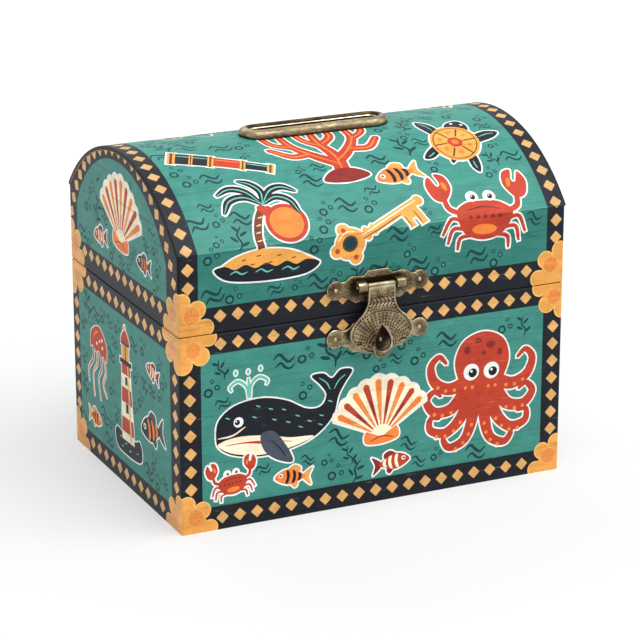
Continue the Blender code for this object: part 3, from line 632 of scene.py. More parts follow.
def grown(outline, width):
    """The outline moved out by a width, each corner along the mean of its two edges' normals."""
    outline = anticlockwise(outline)
    edge = np.roll(outline, -1, 0) - outline
    outline, edge = outline[np.hypot(*edge.T) > 1e-6], edge[np.hypot(*edge.T) > 1e-6]
    normal = np.column_stack([edge[:, 1], -edge[:, 0]]) / np.hypot(*edge.T)[:, None]
    before = np.roll(normal, 1, 0)
    spread = np.maximum(1 + np.sum(normal * before, axis=1), MITRE_LIMIT)
    return outline + width * (normal + before) / spread[:, None]


def cut_out(motif, width):
    """A motif with a plain border round all of its outlines, as if cut out and pasted."""
    return [(grown(outline, width), "white") for outline, _ in motif] + motif


def pasted(motif, x, y, scale=1.0, turn=0.0, flip=False):
    """A motif with its white border, at its place."""
    return placed(cut_out(motif, BORDER / scale), x, y, scale, turn, flip)


def mirrored(motif):
    """A motif and its mirror image."""
    return motif + placed(motif, 0, 0, flip=True)


def eye(x, y, radius, look=(0, 0)):
    """An eye with a pupil and its glint."""
    return [dab("white", x, y, radius),
            dab("navy", x + look[0], y + look[1], radius * 0.55, sides=14),
            dab("white", x + look[0] - radius * 0.18, y + look[1] + radius * 0.2, radius * 0.17,
                sides=8)]


def dashes(spots, length, width, turn, name):
    """Short strokes at a slant, as a brush leaves them."""
    dash = oval(0, 0, length / 2, width / 2, 8)
    return [(turned(dash, turn) + spot, name) for spot in spots]


WHALE_BACK = [
    (-20, -1), (-18.8, 4.2), (-13.5, 7.8), (-5, 8.6), (3, 6.4), (9.5, 2.6), (14.2, 2.4),
    (16.2, 5.6), (14.4, 9.0), (11.6, 12.4), (15.4, 12.6), (18.2, 10.6), (21.2, 12.8), (25, 12),
    (22.4, 8.2), (20.2, 4.6), (18.2, -1.4), (12.6, -6.4), (5, -9), (-5, -9.8), (-14, -8),
    (-19, -4.8)
]
whale = [
    blob("navy", WHALE_BACK),
    blob("cream",
         [(-19.2, -3.2), (-13, -2.2), (-4, -3.4), (4, -5.6), (11.6, -6.6), (5, -8.6), (-5, -9.3),
          (-13.6, -7.6), (-18.2, -5.2)]),
]
whale += [
    line("red", [(-17.2 + shift, -4.2), (-10 + shift, -4.6 - shift * 0.1), (-1 + shift, -6.9)], 0.4)
    for shift in (0, 2.6, 5.4)
]
whale += [
    line("cream", [(-19.4, -1.6), (-14.6, -1.4), (-10.4, 0.6)], 0.55),
    blob("slate", [(-5.6, -3), (-1.4, -2.6), (2.8, -8.4), (4.4, -13.4), (-0.8, -11.8), (-4.8, -8)]),
    line("navy", [(-2.6, -5), (0.4, -8.4), (2.2, -11.4)], 0.4),
]
whale += eye(-12.6, 2.4, 1.6, (-0.4, 0))
whale += dashes([(-6, 6.2), (-2, 4.6), (2.2, 3.6), (-7.4, 3), (6.6, 0.8), (-1, 1), (3.4, -0.6),
                 (10.4, -1.6), (14.4, -0.6), (-16, 4.2), (17.4, 3.4), (13.9, -3.4), (7.4, -2.9)],
                1.7, 0.45, -24, "pale_teal")
whale += [
    line("pale_teal", [(14, 11.4), (16.4, 9.4), (17.6, 7)], 0.4),
    line("pale_teal", [(22.8, 11), (20.4, 9.4), (18.8, 7)], 0.4),
]
WHALE_JETS = [
    [(-9.1, 9.4), (-9.6, 13), (-12.2, 15.2), (-14.8, 13.8), (-14.4, 12.4)],
    [(-8.5, 9.4), (-8, 13.4), (-5.4, 15.4), (-2.8, 14), (-3.2, 12.6)],
    [(-8.8, 9.4), (-8.8, 15.6)],
]
spout = [line("pale_teal", jet, 0.9, 0.5) for jet in WHALE_JETS]
spout += [
    dab("pale_teal", *drop, 0.5, 0.75, 12) for drop in ((-8.8, 17.6), (-12.8, 17.9), (-4.8, 18))
]

OCTOPUS_ARMS = [
    [(5, 4), (11, 2.4), (16, 5), (17.6, 10), (15, 13), (12.4, 10.8)],
    [(4.6, 2), (9.6, -4), (15.4, -4.6), (18.4, -0.8), (16, 2), (13.6, 0.4)],
    [(3.4, 1), (6, -7), (11, -11.6), (16.4, -10.4), (16.6, -6.6), (13.6, -6.8)],
    [(1.6, 1), (2.2, -8), (4.6, -14.6), (9.6, -16.6), (11.8, -13.6), (9.2, -12)],
]
octopus_arms = [(taper(arm, 4.6, 1.1), "red") for arm in OCTOPUS_ARMS]
OCTOPUS_CUPS = [
    (9, 1.9), (12, 1.9), (14.8, 3.2), (9.6, -5.4), (12.6, -6), (15.4, -5.4), (6.2, -8.8),
    (8.4, -11.4), (11.2, -12.8), (14.2, -12.7), (2.2, -10), (3.1, -13), (4.8, -15.6), (7.3, -17.3)
]
octopus_arms += [dab("orange", *cup, 0.62, sides=10) for cup in OCTOPUS_CUPS]
octopus = mirrored(octopus_arms)
octopus += [
    blob("red", [(-7.4, 4), (-9.4, 11), (-6.8, 17.4), (0, 20), (6.8, 17.4), (9.4, 11), (7.4, 4),
                 (4.4, -0.6), (-4.4, -0.6)])
]
octopus += [
    dab("deep_red", *spot)
    for spot in ((-5.4, 14.4, 1.1, 1.4), (-1.8, 17.2, 1.3, 0.9), (2.6, 15.6, 1.6, 1.1),
                 (6, 13, 0.9, 1.2), (0.4, 13.1, 0.8, 0.7))
]
octopus += eye(-3.5, 7.2, 2.7, (0.5, -0.3)) + eye(3.5, 7.2, 2.7, (0.5, -0.3))
octopus += [dab("orange", x, 2.2, 0.6, sides=10) for x in (-5.2, -2.8, 2.8, 5.2)]

SHELL_RIBS = 9
shell_turns = np.linspace(28, 152, SHELL_RIBS + 1)


def shell_rib(start, end, near, far):
    """One rib of a fan shell: a wedge from the hinge with a rounded outer end."""
    turns = np.linspace(start, end, 7)
    bulge = far + 1.1 * np.sin(np.linspace(0, math.pi, 7))
    outer = [turned((size, 0), turn) for size, turn in zip(bulge, turns)]
    return np.vstack([turned((near, 0), start), outer, turned((near, 0), end)]) + (0, -11.5)


shell = [
    blob("orange",
         [(-7, -12.6), (-6.2, -8.4), (0, -6.4), (6.2, -8.4), (7, -12.6), (3, -14), (-3, -14)]),
    (shell_rib(28, 152, 1, 21), "cream"),
]
for index, (start, end) in enumerate(zip(shell_turns, shell_turns[1:])):
    reach = 23.6 - 2.2 * abs(index - (SHELL_RIBS - 1) / 2) / SHELL_RIBS * 2
    shell.append((shell_rib(start, end, 1, reach), "cream"))
    shell.append((shell_rib(start + 3.4, end - 3.4, 5, reach - 1.7),
                  "red" if index % 2 else "orange"))
    shell.append((shell_rib(start + 5.4, end - 5.4, 9, reach - 8),
                  "deep_red" if index % 2 else "amber"))
shell += [line("deep_red", [(-5, -12.6), (0, -11.2), (5, -12.6)], 0.5)]

crab_limbs = [
    line("red", [(4.6, -1.4), (9, 0.4), (11.4, -3.8)], 1.0, 0.6),
    line("red", [(4, -2.8), (8.4, -2.2), (9.8, -6)], 1.0, 0.6),
    line("red", [(3, -4), (6.4, -4.6), (7, -7.6)], 1.0, 0.6),
    line("red", [(5.4, 1.4), (9, 3), (9.8, 6)], 1.5, 0.8),
    blob("red",
         [(9, 5.6), (7, 9), (7.8, 12.6), (10.2, 13.4), (9.6, 10.4), (10.6, 9.8), (12, 12.8),
          (13.4, 10), (12.6, 6.6), (11, 5.2)]),
    dab("orange", 8.6, 9.6, 0.6, 1.4, 12, -12),
    line("red", [(1.8, 3), (2.2, 5.2)], 0.8, 0.8),
]
crab = mirrored(crab_limbs)
crab += [
    blob("red", [(-7.6, 1.6), (-4.6, 4.4), (0, 4.9), (4.6, 4.4), (7.6, 1.6), (5.4, -3.4),
                 (0, -5.2), (-5.4, -3.4)]),
    dab("orange", 0, -2.6, 3.4, 1.3),
    line("deep_red", [(-4.6, 2.4), (0, 3.2), (4.6, 2.4)], 0.5),
]
crab += [dab("deep_red", x, 0.6, 0.55, sides=10) for x in (-4, -2, 0, 2, 4)]
crab += eye(-2.3, 6, 1.3, (0.2, 0)) + eye(2.3, 6, 1.3, (0.2, 0))


def fish(body, stripe, fin):
    """A fish facing left, in three inks."""
    made = [
        blob(fin, [(5.4, 0), (10.6, 4.6), (9.2, 0), (10.6, -4.6)]),
        blob(fin, [(-2.6, 3.2), (0.4, 6), (4, 4.8), (3.4, 2.2)]),
        blob(fin, [(-0.6, -3), (1.6, -5.6), (3.2, -4.4), (2.6, -2.2)]),
        blob(body,
             [(-9.4, -0.3), (-6, 3), (-1, 4.1), (3.6, 2.4), (7, 0.5), (7, -0.5), (3.6, -2.4),
              (-1, -4), (-6, -2.9)]),
    ]
    made += [
        blob(stripe,
             [(x, 3.4 - bend), (x + 1.5, 2.9 - bend), (x + 2.1, 0), (x + 1.5, bend - 2.9),
              (x, bend - 3.4), (x + 0.5, 0)]) for x, bend in ((-3.4, 0), (0, 0.2), (3, 1.3))
    ]
    made += eye(-6.2, 0.7, 1.1, (-0.2, 0))
    return made + [line("navy", [(-9.2, -0.9), (-7.6, -1.3)], 0.3)]


TOWER = np.array([(-4.8, -15), (4.8, -15), (3.1, 8), (-3.1, 8)])
lighthouse = [
    blob("navy",
         [(-10, -15), (-8.4, -12.6), (-4, -13.2), (0, -12), (5, -13.4), (8.8, -12.4), (10.6, -15.4),
          (8, -18.8), (-7, -18.8)]),
    (TOWER, "cream"),
]
for low, high in ((-12.5, -8), (-3.5, 1), (5, 8)):
    widths = [4.8 - (level + 15) * 1.7 / 23 for level in (low, high)]
    lighthouse.append((np.array([(-widths[0], low), (widths[0], low), (widths[1], high),
                                 (-widths[1], high)]), "red"))
lighthouse += [
    (np.array([(1.6, -14.6), (2.9, -14.6), (1.9, 8), (1.1, 8)]), "sand"),
    panel("navy", (-4.4, 8), (4.4, 9.4)),
    panel("amber", (-2.6, 9.4), (2.6, 13.8)),
    panel("navy", (-0.3, 9.4), (0.3, 13.8)),
    panel("navy", (-3.2, 13.8), (3.2, 14.7)),
    blob("red", [(-3, 14.7), (-1.8, 17.2), (0, 18.2), (1.8, 17.2), (3, 14.7)]),
    dab("amber", 0, 18.9, 0.8, sides=12),
    panel("navy", (-1, -6.4), (1, -3.6)),
    panel("navy", (-0.9, 2), (0.9, 4.4)),
]
lighthouse += dashes([(-6, -14.8), (-2, -16), (3, -15), (7, -16.4), (-4.6, -17.4), (1.2, -17.4)], 2,
                     0.45, 10, "pale_teal")

jellyfish = [
    (taper([(x, 2), (x * 1.3 + 1.3, -3), (x * 1.5 - 1.3, -8), (x * 1.8 + 0.7, end)], 1.1, 0.45),
     name)
    for x, end, name in ((-4.2, -12, "red"), (-1.5, -15, "orange"), (1.5, -14, "red"),
                         (4.2, -11, "orange"))
]
jellyfish += [
    blob("red",
         [(-6.8, 0.6), (-6.4, 6), (0, 9.6), (6.4, 6), (6.8, 0.6), (4.4, 1.6), (2.3, 0.3), (0, 1.5),
          (-2.3, 0.3), (-4.4, 1.6)]),
    line("orange", [(-4.6, 4), (-3, 6.6), (-0.6, 7.7)], 0.8),
]
jellyfish += [
    dab("cream", x, y, 0.6, sides=10) for x, y in ((0.6, 5), (3.2, 3.8), (2.6, 6.2), (-1.6, 3.4))
]

# Fillers between the pictures, in the ground's own darker ink, and what goes on each wall
wave_filler = [
    line("deep_teal", [(-3.4, 0.6), (-1.6, 2.1), (0, 0.8), (1.6, -0.2), (3.4, 1.3)], 0.9, 0.3),
    line("deep_teal", [(-2.6, -1.8), (-1, -0.5), (0.4, -1.7), (2, -2.2), (3.6, -0.9)], 0.8, 0.3),
]
weed_filler = [line("deep_teal", [(0, -5), (0.9, -2.2), (-0.8, 0.8), (0.5, 4.6)], 0.8, 0.4)]
weed_filler += [
    dab("deep_teal", x, y, 1.7, 0.6, 12, turn)
    for x, y, turn in ((2.2, -2.2, 34), (-1.9, -0.9, 146), (1.4, 1.7, 38), (-1.5, 3.3, 140))
]
bubble_filler = []
for x, y, radius in ((-0.9, -1.4, 1.4), (1.7, 0.3, 0.85), (-0.2, 2.1, 0.65)):
    bubble_filler += [
        dab("deep_teal", x, y, radius, sides=16),
        dab("teal", x, y, radius * 0.55, sides=12),
    ]
FILLERS = ((wave_filler, 3.5), (bubble_filler, 2.8), (weed_filler, 4.4), (wave_filler, 3.5),
           (bubble_filler, 2.8))
FILLER_PITCH = 6.6, 5.4
FILLER_MARGIN = 2.4
FILLER_DISTANCE = 3.0
FILLER_SQUEEZE = 0.66, 1.04
FILLER_SHARE = 0.98
FILLER_LEAN = 24


def fillers(low, high, motifs, seed):
    """Fillers by turns on a loose grid, as large as the nearest motif or filler leaves room for."""
    random = np.random.default_rng(seed)
    taken = np.vstack([outline for outline, _ in motifs])
    columns, rows = (np.arange(start + 2.6, end - 2, step)
                     for start, end, step in zip(low, high, FILLER_PITCH))
    spots = np.array([(x + row % 2 * FILLER_PITCH[0] / 2, y)
                      for row, y in enumerate(rows) for x in columns])
    spots = spots + random.uniform(-1.0, 1.0, spots.shape)
    covered = np.any([winds_round(outline, spots) for outline, _ in motifs], axis=0)
    made, filled = [], np.full((1, 2), 1e3)
    smallest, largest = FILLER_SQUEEZE
    for index, spot in enumerate(spots):
        shapes, reach = FILLERS[index % len(FILLERS)]
        to_motif, to_filler = (np.hypot(*(points - spot).T).min() for points in (taken, filled))
        room = min(to_motif, to_filler - FILLER_DISTANCE)
        in_field = np.all(spot < np.array(high) - FILLER_MARGIN)
        if room > reach * smallest and not covered[index] and in_field:
            scale = min(room / reach, largest) * FILLER_SHARE
            made += placed(shapes, *spot, scale, random.uniform(-FILLER_LEAN, FILLER_LEAN))
            filled = np.vstack([filled, spot])
    return made


# Where the fillers of the front and the sides may lie
FRONT_ROOM = (-55, 8.4), (55, 53.2)
SIDE_ROOM = (-36.6, 8.2), (35.2, 53)
orange_fish, navy_fish = fish("orange", "navy", "amber"), fish("navy", "orange", "slate")
red_fish = fish("red", "cream", "deep_red")
spouting_whale = cut_out(whale, BORDER) + cut_out(spout, THIN_BORDER)
front_art = placed(spouting_whale, -32, 30.4, 0.98, 2) + pasted(octopus, 34.8, 29, 0.98, -3)
front_art += pasted(shell, 1.2, 29.6, 0.8, 4) + pasted(crab, -46.4, 13.4, 0.6, 6)
front_art += pasted(orange_fish, -27.4, 12.6, 0.6, -6) + pasted(red_fish, 5.4, 11.8, 0.62, 5, True)
back_art = placed(spouting_whale, 32, 30, 0.98, -2, True) + pasted(octopus, -36, 29.5, 0.95, 3)
back_art += pasted(lighthouse, 0, 30.5, 1.05)
side_art = pasted(lighthouse, 1.5, 30.6, 1.06, 2)
side_art += placed(cut_out(jellyfish, THIN_BORDER), -22, 35, 0.98, -8)
side_art += pasted(navy_fish, 21.5, 25.2, 0.92, 12)
side_art += pasted(orange_fish, -25.6, 13.4, 0.55, 0, True) + pasted(red_fish, 22.6, 43.6, 0.5, -8)
front_sheet = front_frame + fillers(*FRONT_ROOM, front_art, 1) + front_art + front_corners
back_sheet = front_frame + fillers(*FRONT_ROOM, back_art, 2) + back_art + front_corners
side_sheet = side_frame + fillers(*SIDE_ROOM, side_art, 3) + side_art + side_corners
for face, half, shapes in (("front", HALF_WIDTH, front_sheet), ("back", HALF_WIDTH, back_sheet),
                           ("left", HALF_DEPTH, side_sheet),
                           ("right", HALF_DEPTH, placed(side_sheet, 0, 0, flip=True))):
    lay_wall(f"box_{face}_print", "box", face, half, (0, BOX_TOP), BOX_WRAPS, shapes)


# Lid prints: varnished sheets like the box's on the front rail, the back rail and the two ends,
# and one glued on the bent board, which folds down over the board's ends and opens under the ring.
rail_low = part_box("lid_front_rail")[0]
board_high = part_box("lid_arched_top")[1]
LID_FOOT = rail_low.z / MM
BOARD_END = board_high.x / MM
BOARD_EDGE = 1.2
ARCH_RADIUS = 56.938
ARCH_CENTRE = board_high.z / MM - ARCH_RADIUS
LIFT = PAPER_LIFT / MM
MEETING_ANGLE = math.asin((HALF_DEPTH + LIFT) / (ARCH_RADIUS + LIFT))
MEETING_HEIGHT = ARCH_CENTRE + (ARCH_RADIUS + LIFT) * math.cos(MEETING_ANGLE)
ARCH_RUN = ARCH_RADIUS * MEETING_ANGLE
END_FOLD = 0.15
END_ARCH_RADIUS = ARCH_RADIUS - BOARD_EDGE - 0.06
ARCH_BENDS = 48
SLOT_OPENING = 43.9, 6.9


def top_surface(flat):
    """The bent board: round the arch by the flat's height, which counts from the crown, and over
    a small fold at each end, after which the sheet runs straight down the board's edge."""
    angle = flat[:, 1:] / (ARCH_RADIUS * MM)
    out = np.hstack([0 * angle, np.sin(angle), np.cos(angle)])
    radius = (END_FOLD + LIFT) * MM
    core = np.clip(flat[:, :1], (END_FOLD - BOARD_END) * MM, (BOARD_END - END_FOLD) * MM)
    turn = (flat[:, :1] - core) / radius
    bend = np.clip(turn, -QUARTER, QUARTER)
    fall = np.abs(turn - bend) * radius
    centre = np.array((0, MIDDLE.y, ARCH_CENTRE * MM)) + out * (ARCH_RADIUS - END_FOLD) * MM
    across = np.array((1, 0, 0))
    return centre + (core + radius * np.sin(bend)) * across + (radius * np.cos(bend) - fall) * out


def stadium(length, width, sides=12):
    """A slot with round ends."""
    radius = width / 2
    turn = np.linspace(-QUARTER, QUARTER, sides)
    end = np.column_stack([length / 2 - radius + radius * np.cos(turn), radius * np.sin(turn)])
    return np.vstack([end, -end])


def end_outline():
    """A lid end's outline: its rectangle up to the crease, with the arch under the board on top."""
    half_angle = math.acos((MEETING_HEIGHT - ARCH_CENTRE) / END_ARCH_RADIUS)
    turn = np.linspace(-half_angle, half_angle, ARCH_BENDS)[::-1]
    *square, high_left = wall_outline(HALF_DEPTH, LID_FOOT, MEETING_HEIGHT, QUARTER, 0)
    arch = np.column_stack([np.sin(turn), np.cos(turn)]) * END_ARCH_RADIUS + (0, ARCH_CENTRE)
    return np.vstack([square, arch, high_left])


def lay_end(name, face, shapes):
    """Cut a lid end's print and wrap it on the end."""
    up = folds(LID_FOOT, -1, QUARTER, RIM_ROUND)
    cut = cut_sheet(end_outline(), shapes, side_folds(HALF_DEPTH), up)
    surface = wall_surface(face, HALF_DEPTH, LID_FOOT, ARCH_CENTRE + ARCH_RADIUS + 1)
    lay_sheet(name, "lid", cut, surface, printed_paper(name + "_paper"))


def on_rail(shapes):
    """Shapes whose heights count from the crown, moved to the heights of the rails."""
    return placed(shapes, 0, ARCH_RUN + MEETING_HEIGHT)


# Bands and corner plates of the front, the top and the back: one print that runs on over the
# creases, where its ink is worn to a pale line with a painted highlight, and on the dark band is
# a paler slate as painted highlight. Its heights count from the crown both ways
LID_LOBES = ((8.1, 62.6, 2.7), (5.6, 68.2, 2.8), (0.9, 70.9, 2.7), (3.9, 66.5, 2.5))
FIELD_EDGE = 56.5
BAND_EDGE = 62.3
SEAM_ROW = 65.5
DOME_COLUMN = 2.75 + 5.68 * np.arange(9)
DOME_COLUMN_OUT = 59.65
RAIL_COLUMN = 53.9, 59.3
RAIL_COLUMN_OUT = 59.6
LIT_WORN_CREASE = 0.08
FIELD_FOOT = 68.3 - MEETING_HEIGHT - ARCH_RUN
wrap_frame = sheet_ground() + [panel("teal", (-FIELD_EDGE, FIELD_FOOT), (FIELD_EDGE, -FIELD_FOOT))]
# The rails take a darker copy of the teal, painted shade below the lit top.
wrap_frame += [panel("rail_teal", (-FIELD_EDGE, side * ARCH_RUN), (FIELD_EDGE, -side * FIELD_FOOT))
               for side in (-1, 1)]
# Down the board's ends beyond the band, a black strip of painted shadow where the arch meets the
# end.
wrap_frame += [(frame_of((BAND_EDGE, -80), (70, 80)) * (side, 1), "soot") for side in (-1, 1)]
# The top's lozenges take a darker copy of the lozenge ink, painted shade against its stronger
# light.
wrap_frame += column_pair(DOME_COLUMN_OUT, np.concatenate([-DOME_COLUMN, DOME_COLUMN]),
                          name="sun_lozenge")
wrap_frame += column_pair(RAIL_COLUMN_OUT, [side * run for side in (-1, 1) for run in RAIL_COLUMN])
# Along each crease, worn ink with a painted highlight, and in slate on the dark band a painted
# highlight.
for side in (-1, 1):
    low, high = side * ARCH_RUN - LIT_WORN_CREASE, side * ARCH_RUN + LIT_WORN_CREASE
    wrap_frame.append(panel("worn", (-FIELD_EDGE, low), (FIELD_EDGE, high)))
    wrap_frame.append((frame_of((FIELD_EDGE, low), (BAND_EDGE, high)) * (-side, 1), "slate"))
seam_row = lozenges([(x, SEAM_ROW) for x in ROW])
rail_corners = plate_pair(HALF_WIDTH, LID_LOBES, LID_FOOT - PLATE_MARGIN, out=-0.5)

# The ends: a field that is an arc over a level line, under an arc and over a row of lozenges
END_FIELD = -37.2, 34.8, 68.4
END_CENTRE = -1.2, 60.2
END_FIELD_RADIUS = 41.0
END_BAND = 42.9, 80
END_ROW = np.linspace(-31.3, 29.5, 12)
END_ROW_HEIGHT = 65.8
END_ARC_TURNS = np.linspace(20.8, 159.2, 21)
END_ARC = (-0.8, 60.2), 44.0
SHADE_RIM = 0.55
field_left, field_right, field_low = END_FIELD
field_turn = math.degrees(math.acos((field_right - field_left) / 2 / END_FIELD_RADIUS))
end_arc = [turned((END_FIELD_RADIUS, 0), turn) + END_CENTRE
           for turn in np.linspace(field_turn, 180 - field_turn, 40)]
# Round the end's arch, a black rim of painted shadow under the board's overhanging edge.
end_edge = grown(end_outline(), -SHADE_RIM)
end_frame = sheet_ground("soot") + [panel("navy", (-END_BAND[0], 40), END_BAND)]
end_frame.append((end_edge[end_edge[:, 1] > LID_FOOT], "navy"))
end_frame.append((np.vstack([(field_left, field_low), (field_right, field_low), end_arc]), "teal"))
arc_centre, arc_radius = END_ARC
end_frame += [(turned(shape + (arc_radius, 0), turn) + arc_centre, name)
              for turn in END_ARC_TURNS for shape, name in lozenges([(0, 0)], *SIDE_LOZENGE)]
end_frame += lozenges([(x, END_ROW_HEIGHT) for x in END_ROW], *SIDE_LOZENGE)
# At the end's foot by the seam, a black strip of painted shade.
end_frame = with_side_sheen(end_frame + level_strip(LID_FOOT - 2, LID_FOOT + 0.2, "soot"))
end_corners = with_side_sheen(plate_pair(HALF_DEPTH, LID_LOBES, LID_FOOT - PLATE_MARGIN, SIDE_STRETCH))

# Pictures that only the lid has: a turtle, an island with a palm, a key, a spyglass and a coral
FLIPPER = [(5.4, 5), (9, 9.4), (13.6, 10.4), (12.8, 7), (9.4, 3.4), (7, 2)]
HIND_FLIPPER = [(4.6, -6.6), (6.4, -11), (9.2, -12.4), (9, -9), (7, -5)]
turtle = mirrored([blob("navy", FLIPPER), blob("navy", HIND_FLIPPER),
                   line("pale_teal", [(7.6, 5.4), (10.2, 8), (12.4, 9.2)], 0.45),
                   line("pale_teal", [(6.4, -8), (7.2, -9.6), (8.2, -11)], 0.45)])
turtle += [
    blob("navy", [(-3.4, 8), (-3.3, 12), (0, 14.6), (3.3, 12), (3.4, 8)]),
    blob("navy", [(-1.2, -8.6), (0, -11.6), (1.2, -8.6)]),
    dab("amber", 0, 0, 8.4, 9.8, 40),
    dab("brown", 0, 0, 7.5, 8.9, 40),
    dab("amber", 0, 0, 7.1, 8.5, 40),
]
turtle += [dab("red", 0, 0, 2.9, 2.9, 6, 30), dab("orange", 0, 0, 1.4, 1.4, 6, 30)]
turtle += [
    (turned(stroke([(3, 0), (7.2, 0)], 0.6, 1.0), turn) * (1, 1.12), "brown")
    for turn in range(30, 390, 60)
]
turtle += [
    (turned(oval(5, 0, 0.85, sides=10), turn) * (1, 1.12), "orange") for turn in range(0, 360, 60)
]
turtle += mirrored([dab("white", 1.7, 12, 0.55, sides=10)])

PALM_LEAVES = [
    [(0, 0), (-5, 3.4), (-10.4, 2.4), (-13.6, -2.6)],
    [(0, 0), (-4, 5.6), (-9, 7.4), (-14, 5)],
    [(0, 0), (1, 5), (-1.4, 8.8), (-5.4, 10.8)],
    [(0, 0), (4, 5.2), (8.4, 6.4), (12.8, 4)],
    [(0, 0), (5, 2.6), (9.4, 0.6), (11.4, -4.6)],
]
palm = [line("brown", [(-1.2, -13), (-2.4, -6), (-0.6, 1), (2.4, 6)], 2.6, 0.7)]
palm += dashes([(-1.7, -9.4), (-2.2, -6.6), (-1.9, -3.8), (-1.1, -1.2), (0.1, 1.6)], 2.1, 0.5, 12,
               "sand")
palm += placed([line("navy", leaf, 2.8, 0.25) for leaf in PALM_LEAVES], 2.4, 6.4)
palm += placed([line("pale_teal", leaf, 0.5, 0.3) for leaf in PALM_LEAVES], 2.4, 6.4)
palm += [dab("red", x, y, 1.2, sides=14) for x, y in ((1.2, 5), (3.6, 4.6), (2.2, 3.2))]
island = [dab("red", 8.4, -1, 7, sides=36), dab("orange", 8.4, -1, 5.6, sides=36)]
island += palm + [blob("amber",
                       [(-15, -13.6), (-10, -11), (-2, -9.4), (7, -10.2), (14, -13), (16.4, -15.4),
                        (0, -16.4), (-16.4, -15.6)])]
island += dashes([(-8, -12.4), (-3, -11.4), (4, -11.8), (9, -13), (-5, -14), (1, -13.8)], 1.8, 0.45,
                 6, "brown")
island += [
    blob("navy",
         [(-18, -15), (-14.4, -13.9), (-11, -15.2), (-7.4, -13.9), (-4, -15.2), (-0.4, -13.9),
          (3, -15.2), (6.6, -13.9), (10, -15.2), (13.6, -13.9), (18, -15.4), (13, -18.6),
          (0, -19.6), (-13, -18.6)])
]
island += [
    line("pale_teal", [(x - 3, -16.6), (x - 1, -15.8), (x + 1, -16.8), (x + 3, -16.2)], 0.5)
    for x in (-9.6, -1, 8)
]

key = [
    dab("amber", -13, 0, 5.6, sides=32),
    dab("amber", -18.2, 0, 2.4, sides=20),
    dab("amber", -13, 5.4, 2.4, sides=20),
    dab("amber", -13, -5.4, 2.4, sides=20),
    panel("amber", (-8, -1.5), (18, 1.5)),
    dab("amber", 18, 0, 1.9, 1.9, 16),
    dab("amber", -6, 0, 1.5, 2.6, 16),
    dab("amber", -3, 0, 1.1, 2.1, 16),
    (np.array([(9, -1), (9, -7), (11.4, -7), (11.4, -4.4), (13.2, -4.4), (13.2, -8), (16, -8),
               (16, -1)]), "amber"),
    dab("brown", -13, 0, 2.9, sides=24),
    dab("deep_teal", -13, 0, 2.3, sides=24),
    line("cream", [(-8, 0.5), (4, 0.55), (17.4, 0.5)], 0.5, 0.6),
    line("brown", [(-8, -0.95), (4, -0.95), (9, -0.95)], 0.4, 0.6),
    line("cream", [(-16.6, 3), (-13, 4.5), (-9.6, 3)], 0.45),
    line("brown", [(9.7, -2.2), (9.7, -6.3)], 0.4, 0.6),
    line("brown", [(13.9, -2.2), (13.9, -7.2)], 0.4, 0.6),
]
key += [dab("red", x, y, 0.9, sides=12) for x, y in ((-18.2, 0), (-13, 5.4), (-13, -5.4))]

SPYGLASS_TUBES = (((-19, 4.3), (-5, 3.5), "navy"), ((-5, 3.1), (7, 2.7), "red"),
                  ((7, 2.3), (17, 2.0), "navy"))
SPYGLASS_BANDS = ((-19.6, 4.8, 1.5), (-12.4, 4.2, 0.7), (-5.2, 3.9, 1.1), (6.6, 3.1, 1.0),
                  (16.8, 2.6, 1.2))
spyglass = []
for (start, half), (end, after), name in SPYGLASS_TUBES:
    spyglass.append((np.array([(start, -half), (end, -after), (end, after), (start, half)]), name))
    spyglass.append((stroke([(start + 1, half * 0.5), (end - 1, after * 0.5)], 0.6, 0.5),
                     "pale_teal" if name == "navy" else "orange"))
for x, half, width in SPYGLASS_BANDS:
    spyglass.append(panel("amber", (x - width, -half), (x + width, half)))
    spyglass.append(panel("brown", (x - width * 0.35, -half), (x + width * 0.35, half)))

CORAL_BRANCHES = [
    ([(0, -11), (0.8, -4), (-0.6, 3), (0.6, 11)], 4.4),
    ([(0.4, -7), (-4.4, -2.6), (-8, 3), (-8.4, 10.4)], 3.6),
    ([(0.4, -6), (5, -2.4), (9, 3), (9.6, 10)], 3.6),
    ([(-5, -1.6), (-10, -1.6), (-14.2, 2.6)], 2.7),
    ([(5.4, -1.6), (11, -2.4), (15.2, 1.6)], 2.7),
    ([(-0.4, 1), (-3.4, 5), (-4, 10)], 2.7),
    ([(0.2, 2), (4, 5.4), (4.8, 10.6)], 2.7),
    ([(-7.4, 2), (-12, 5.2), (-13, 9.6)], 2.4),
    ([(8.6, 2.6), (13, 5.6), (14.4, 9.4)], 2.4),
]
coral = [(taper(branch, thick, 1.9), "red") for branch, thick in CORAL_BRANCHES]
coral += [line("orange", branch, 0.5, 0.4) for branch, _ in CORAL_BRANCHES]
coral += [
    blob("deep_red", [(-6, -12.4), (-3.6, -9.6), (0, -8.8), (4, -9.8), (6.4, -12.6), (0, -13.8)])
]

# What goes on each sheet: half of the top's pictures are the other half turned round
half_art = pasted(island, -34.5, -42, 0.92, -2) + pasted(crab, 35.5, -50.5, 1.22, -4)
half_art += pasted(key, 1.5, -48, 0.86, 24) + pasted(spyglass, -36.4, -17, 0.8, -24)
half_art += pasted(coral, -3.5, -15.5, 1.2, 3) + pasted(orange_fish, 13.2, -31.4, 0.76, 8)
half_art += pasted(turtle, 37.5, -20.5, 0.92, -28)
ring_room = [dab("teal", 0, 0, 26, 6.4, 60)]
lid_art = half_art + placed(half_art, 0, 0, turn=180)
lid_art = fillers((-55.6, -65), (55.6, 66), lid_art + ring_room, 4) + lid_art
end_art = pasted(shell, 0, 86.4, 0.86, -4) + pasted(red_fish, -17.5, 74.4, 0.55, 6)
end_art += pasted(navy_fish, 17.5, 75.2, 0.55)
end_fillers = [(outline, name) for outline, name in fillers((-36, 68.6), (34, 101), end_art, 5)
               if np.hypot(*(outline.mean(0) - END_CENTRE)) < END_FIELD_RADIUS - 3.5]
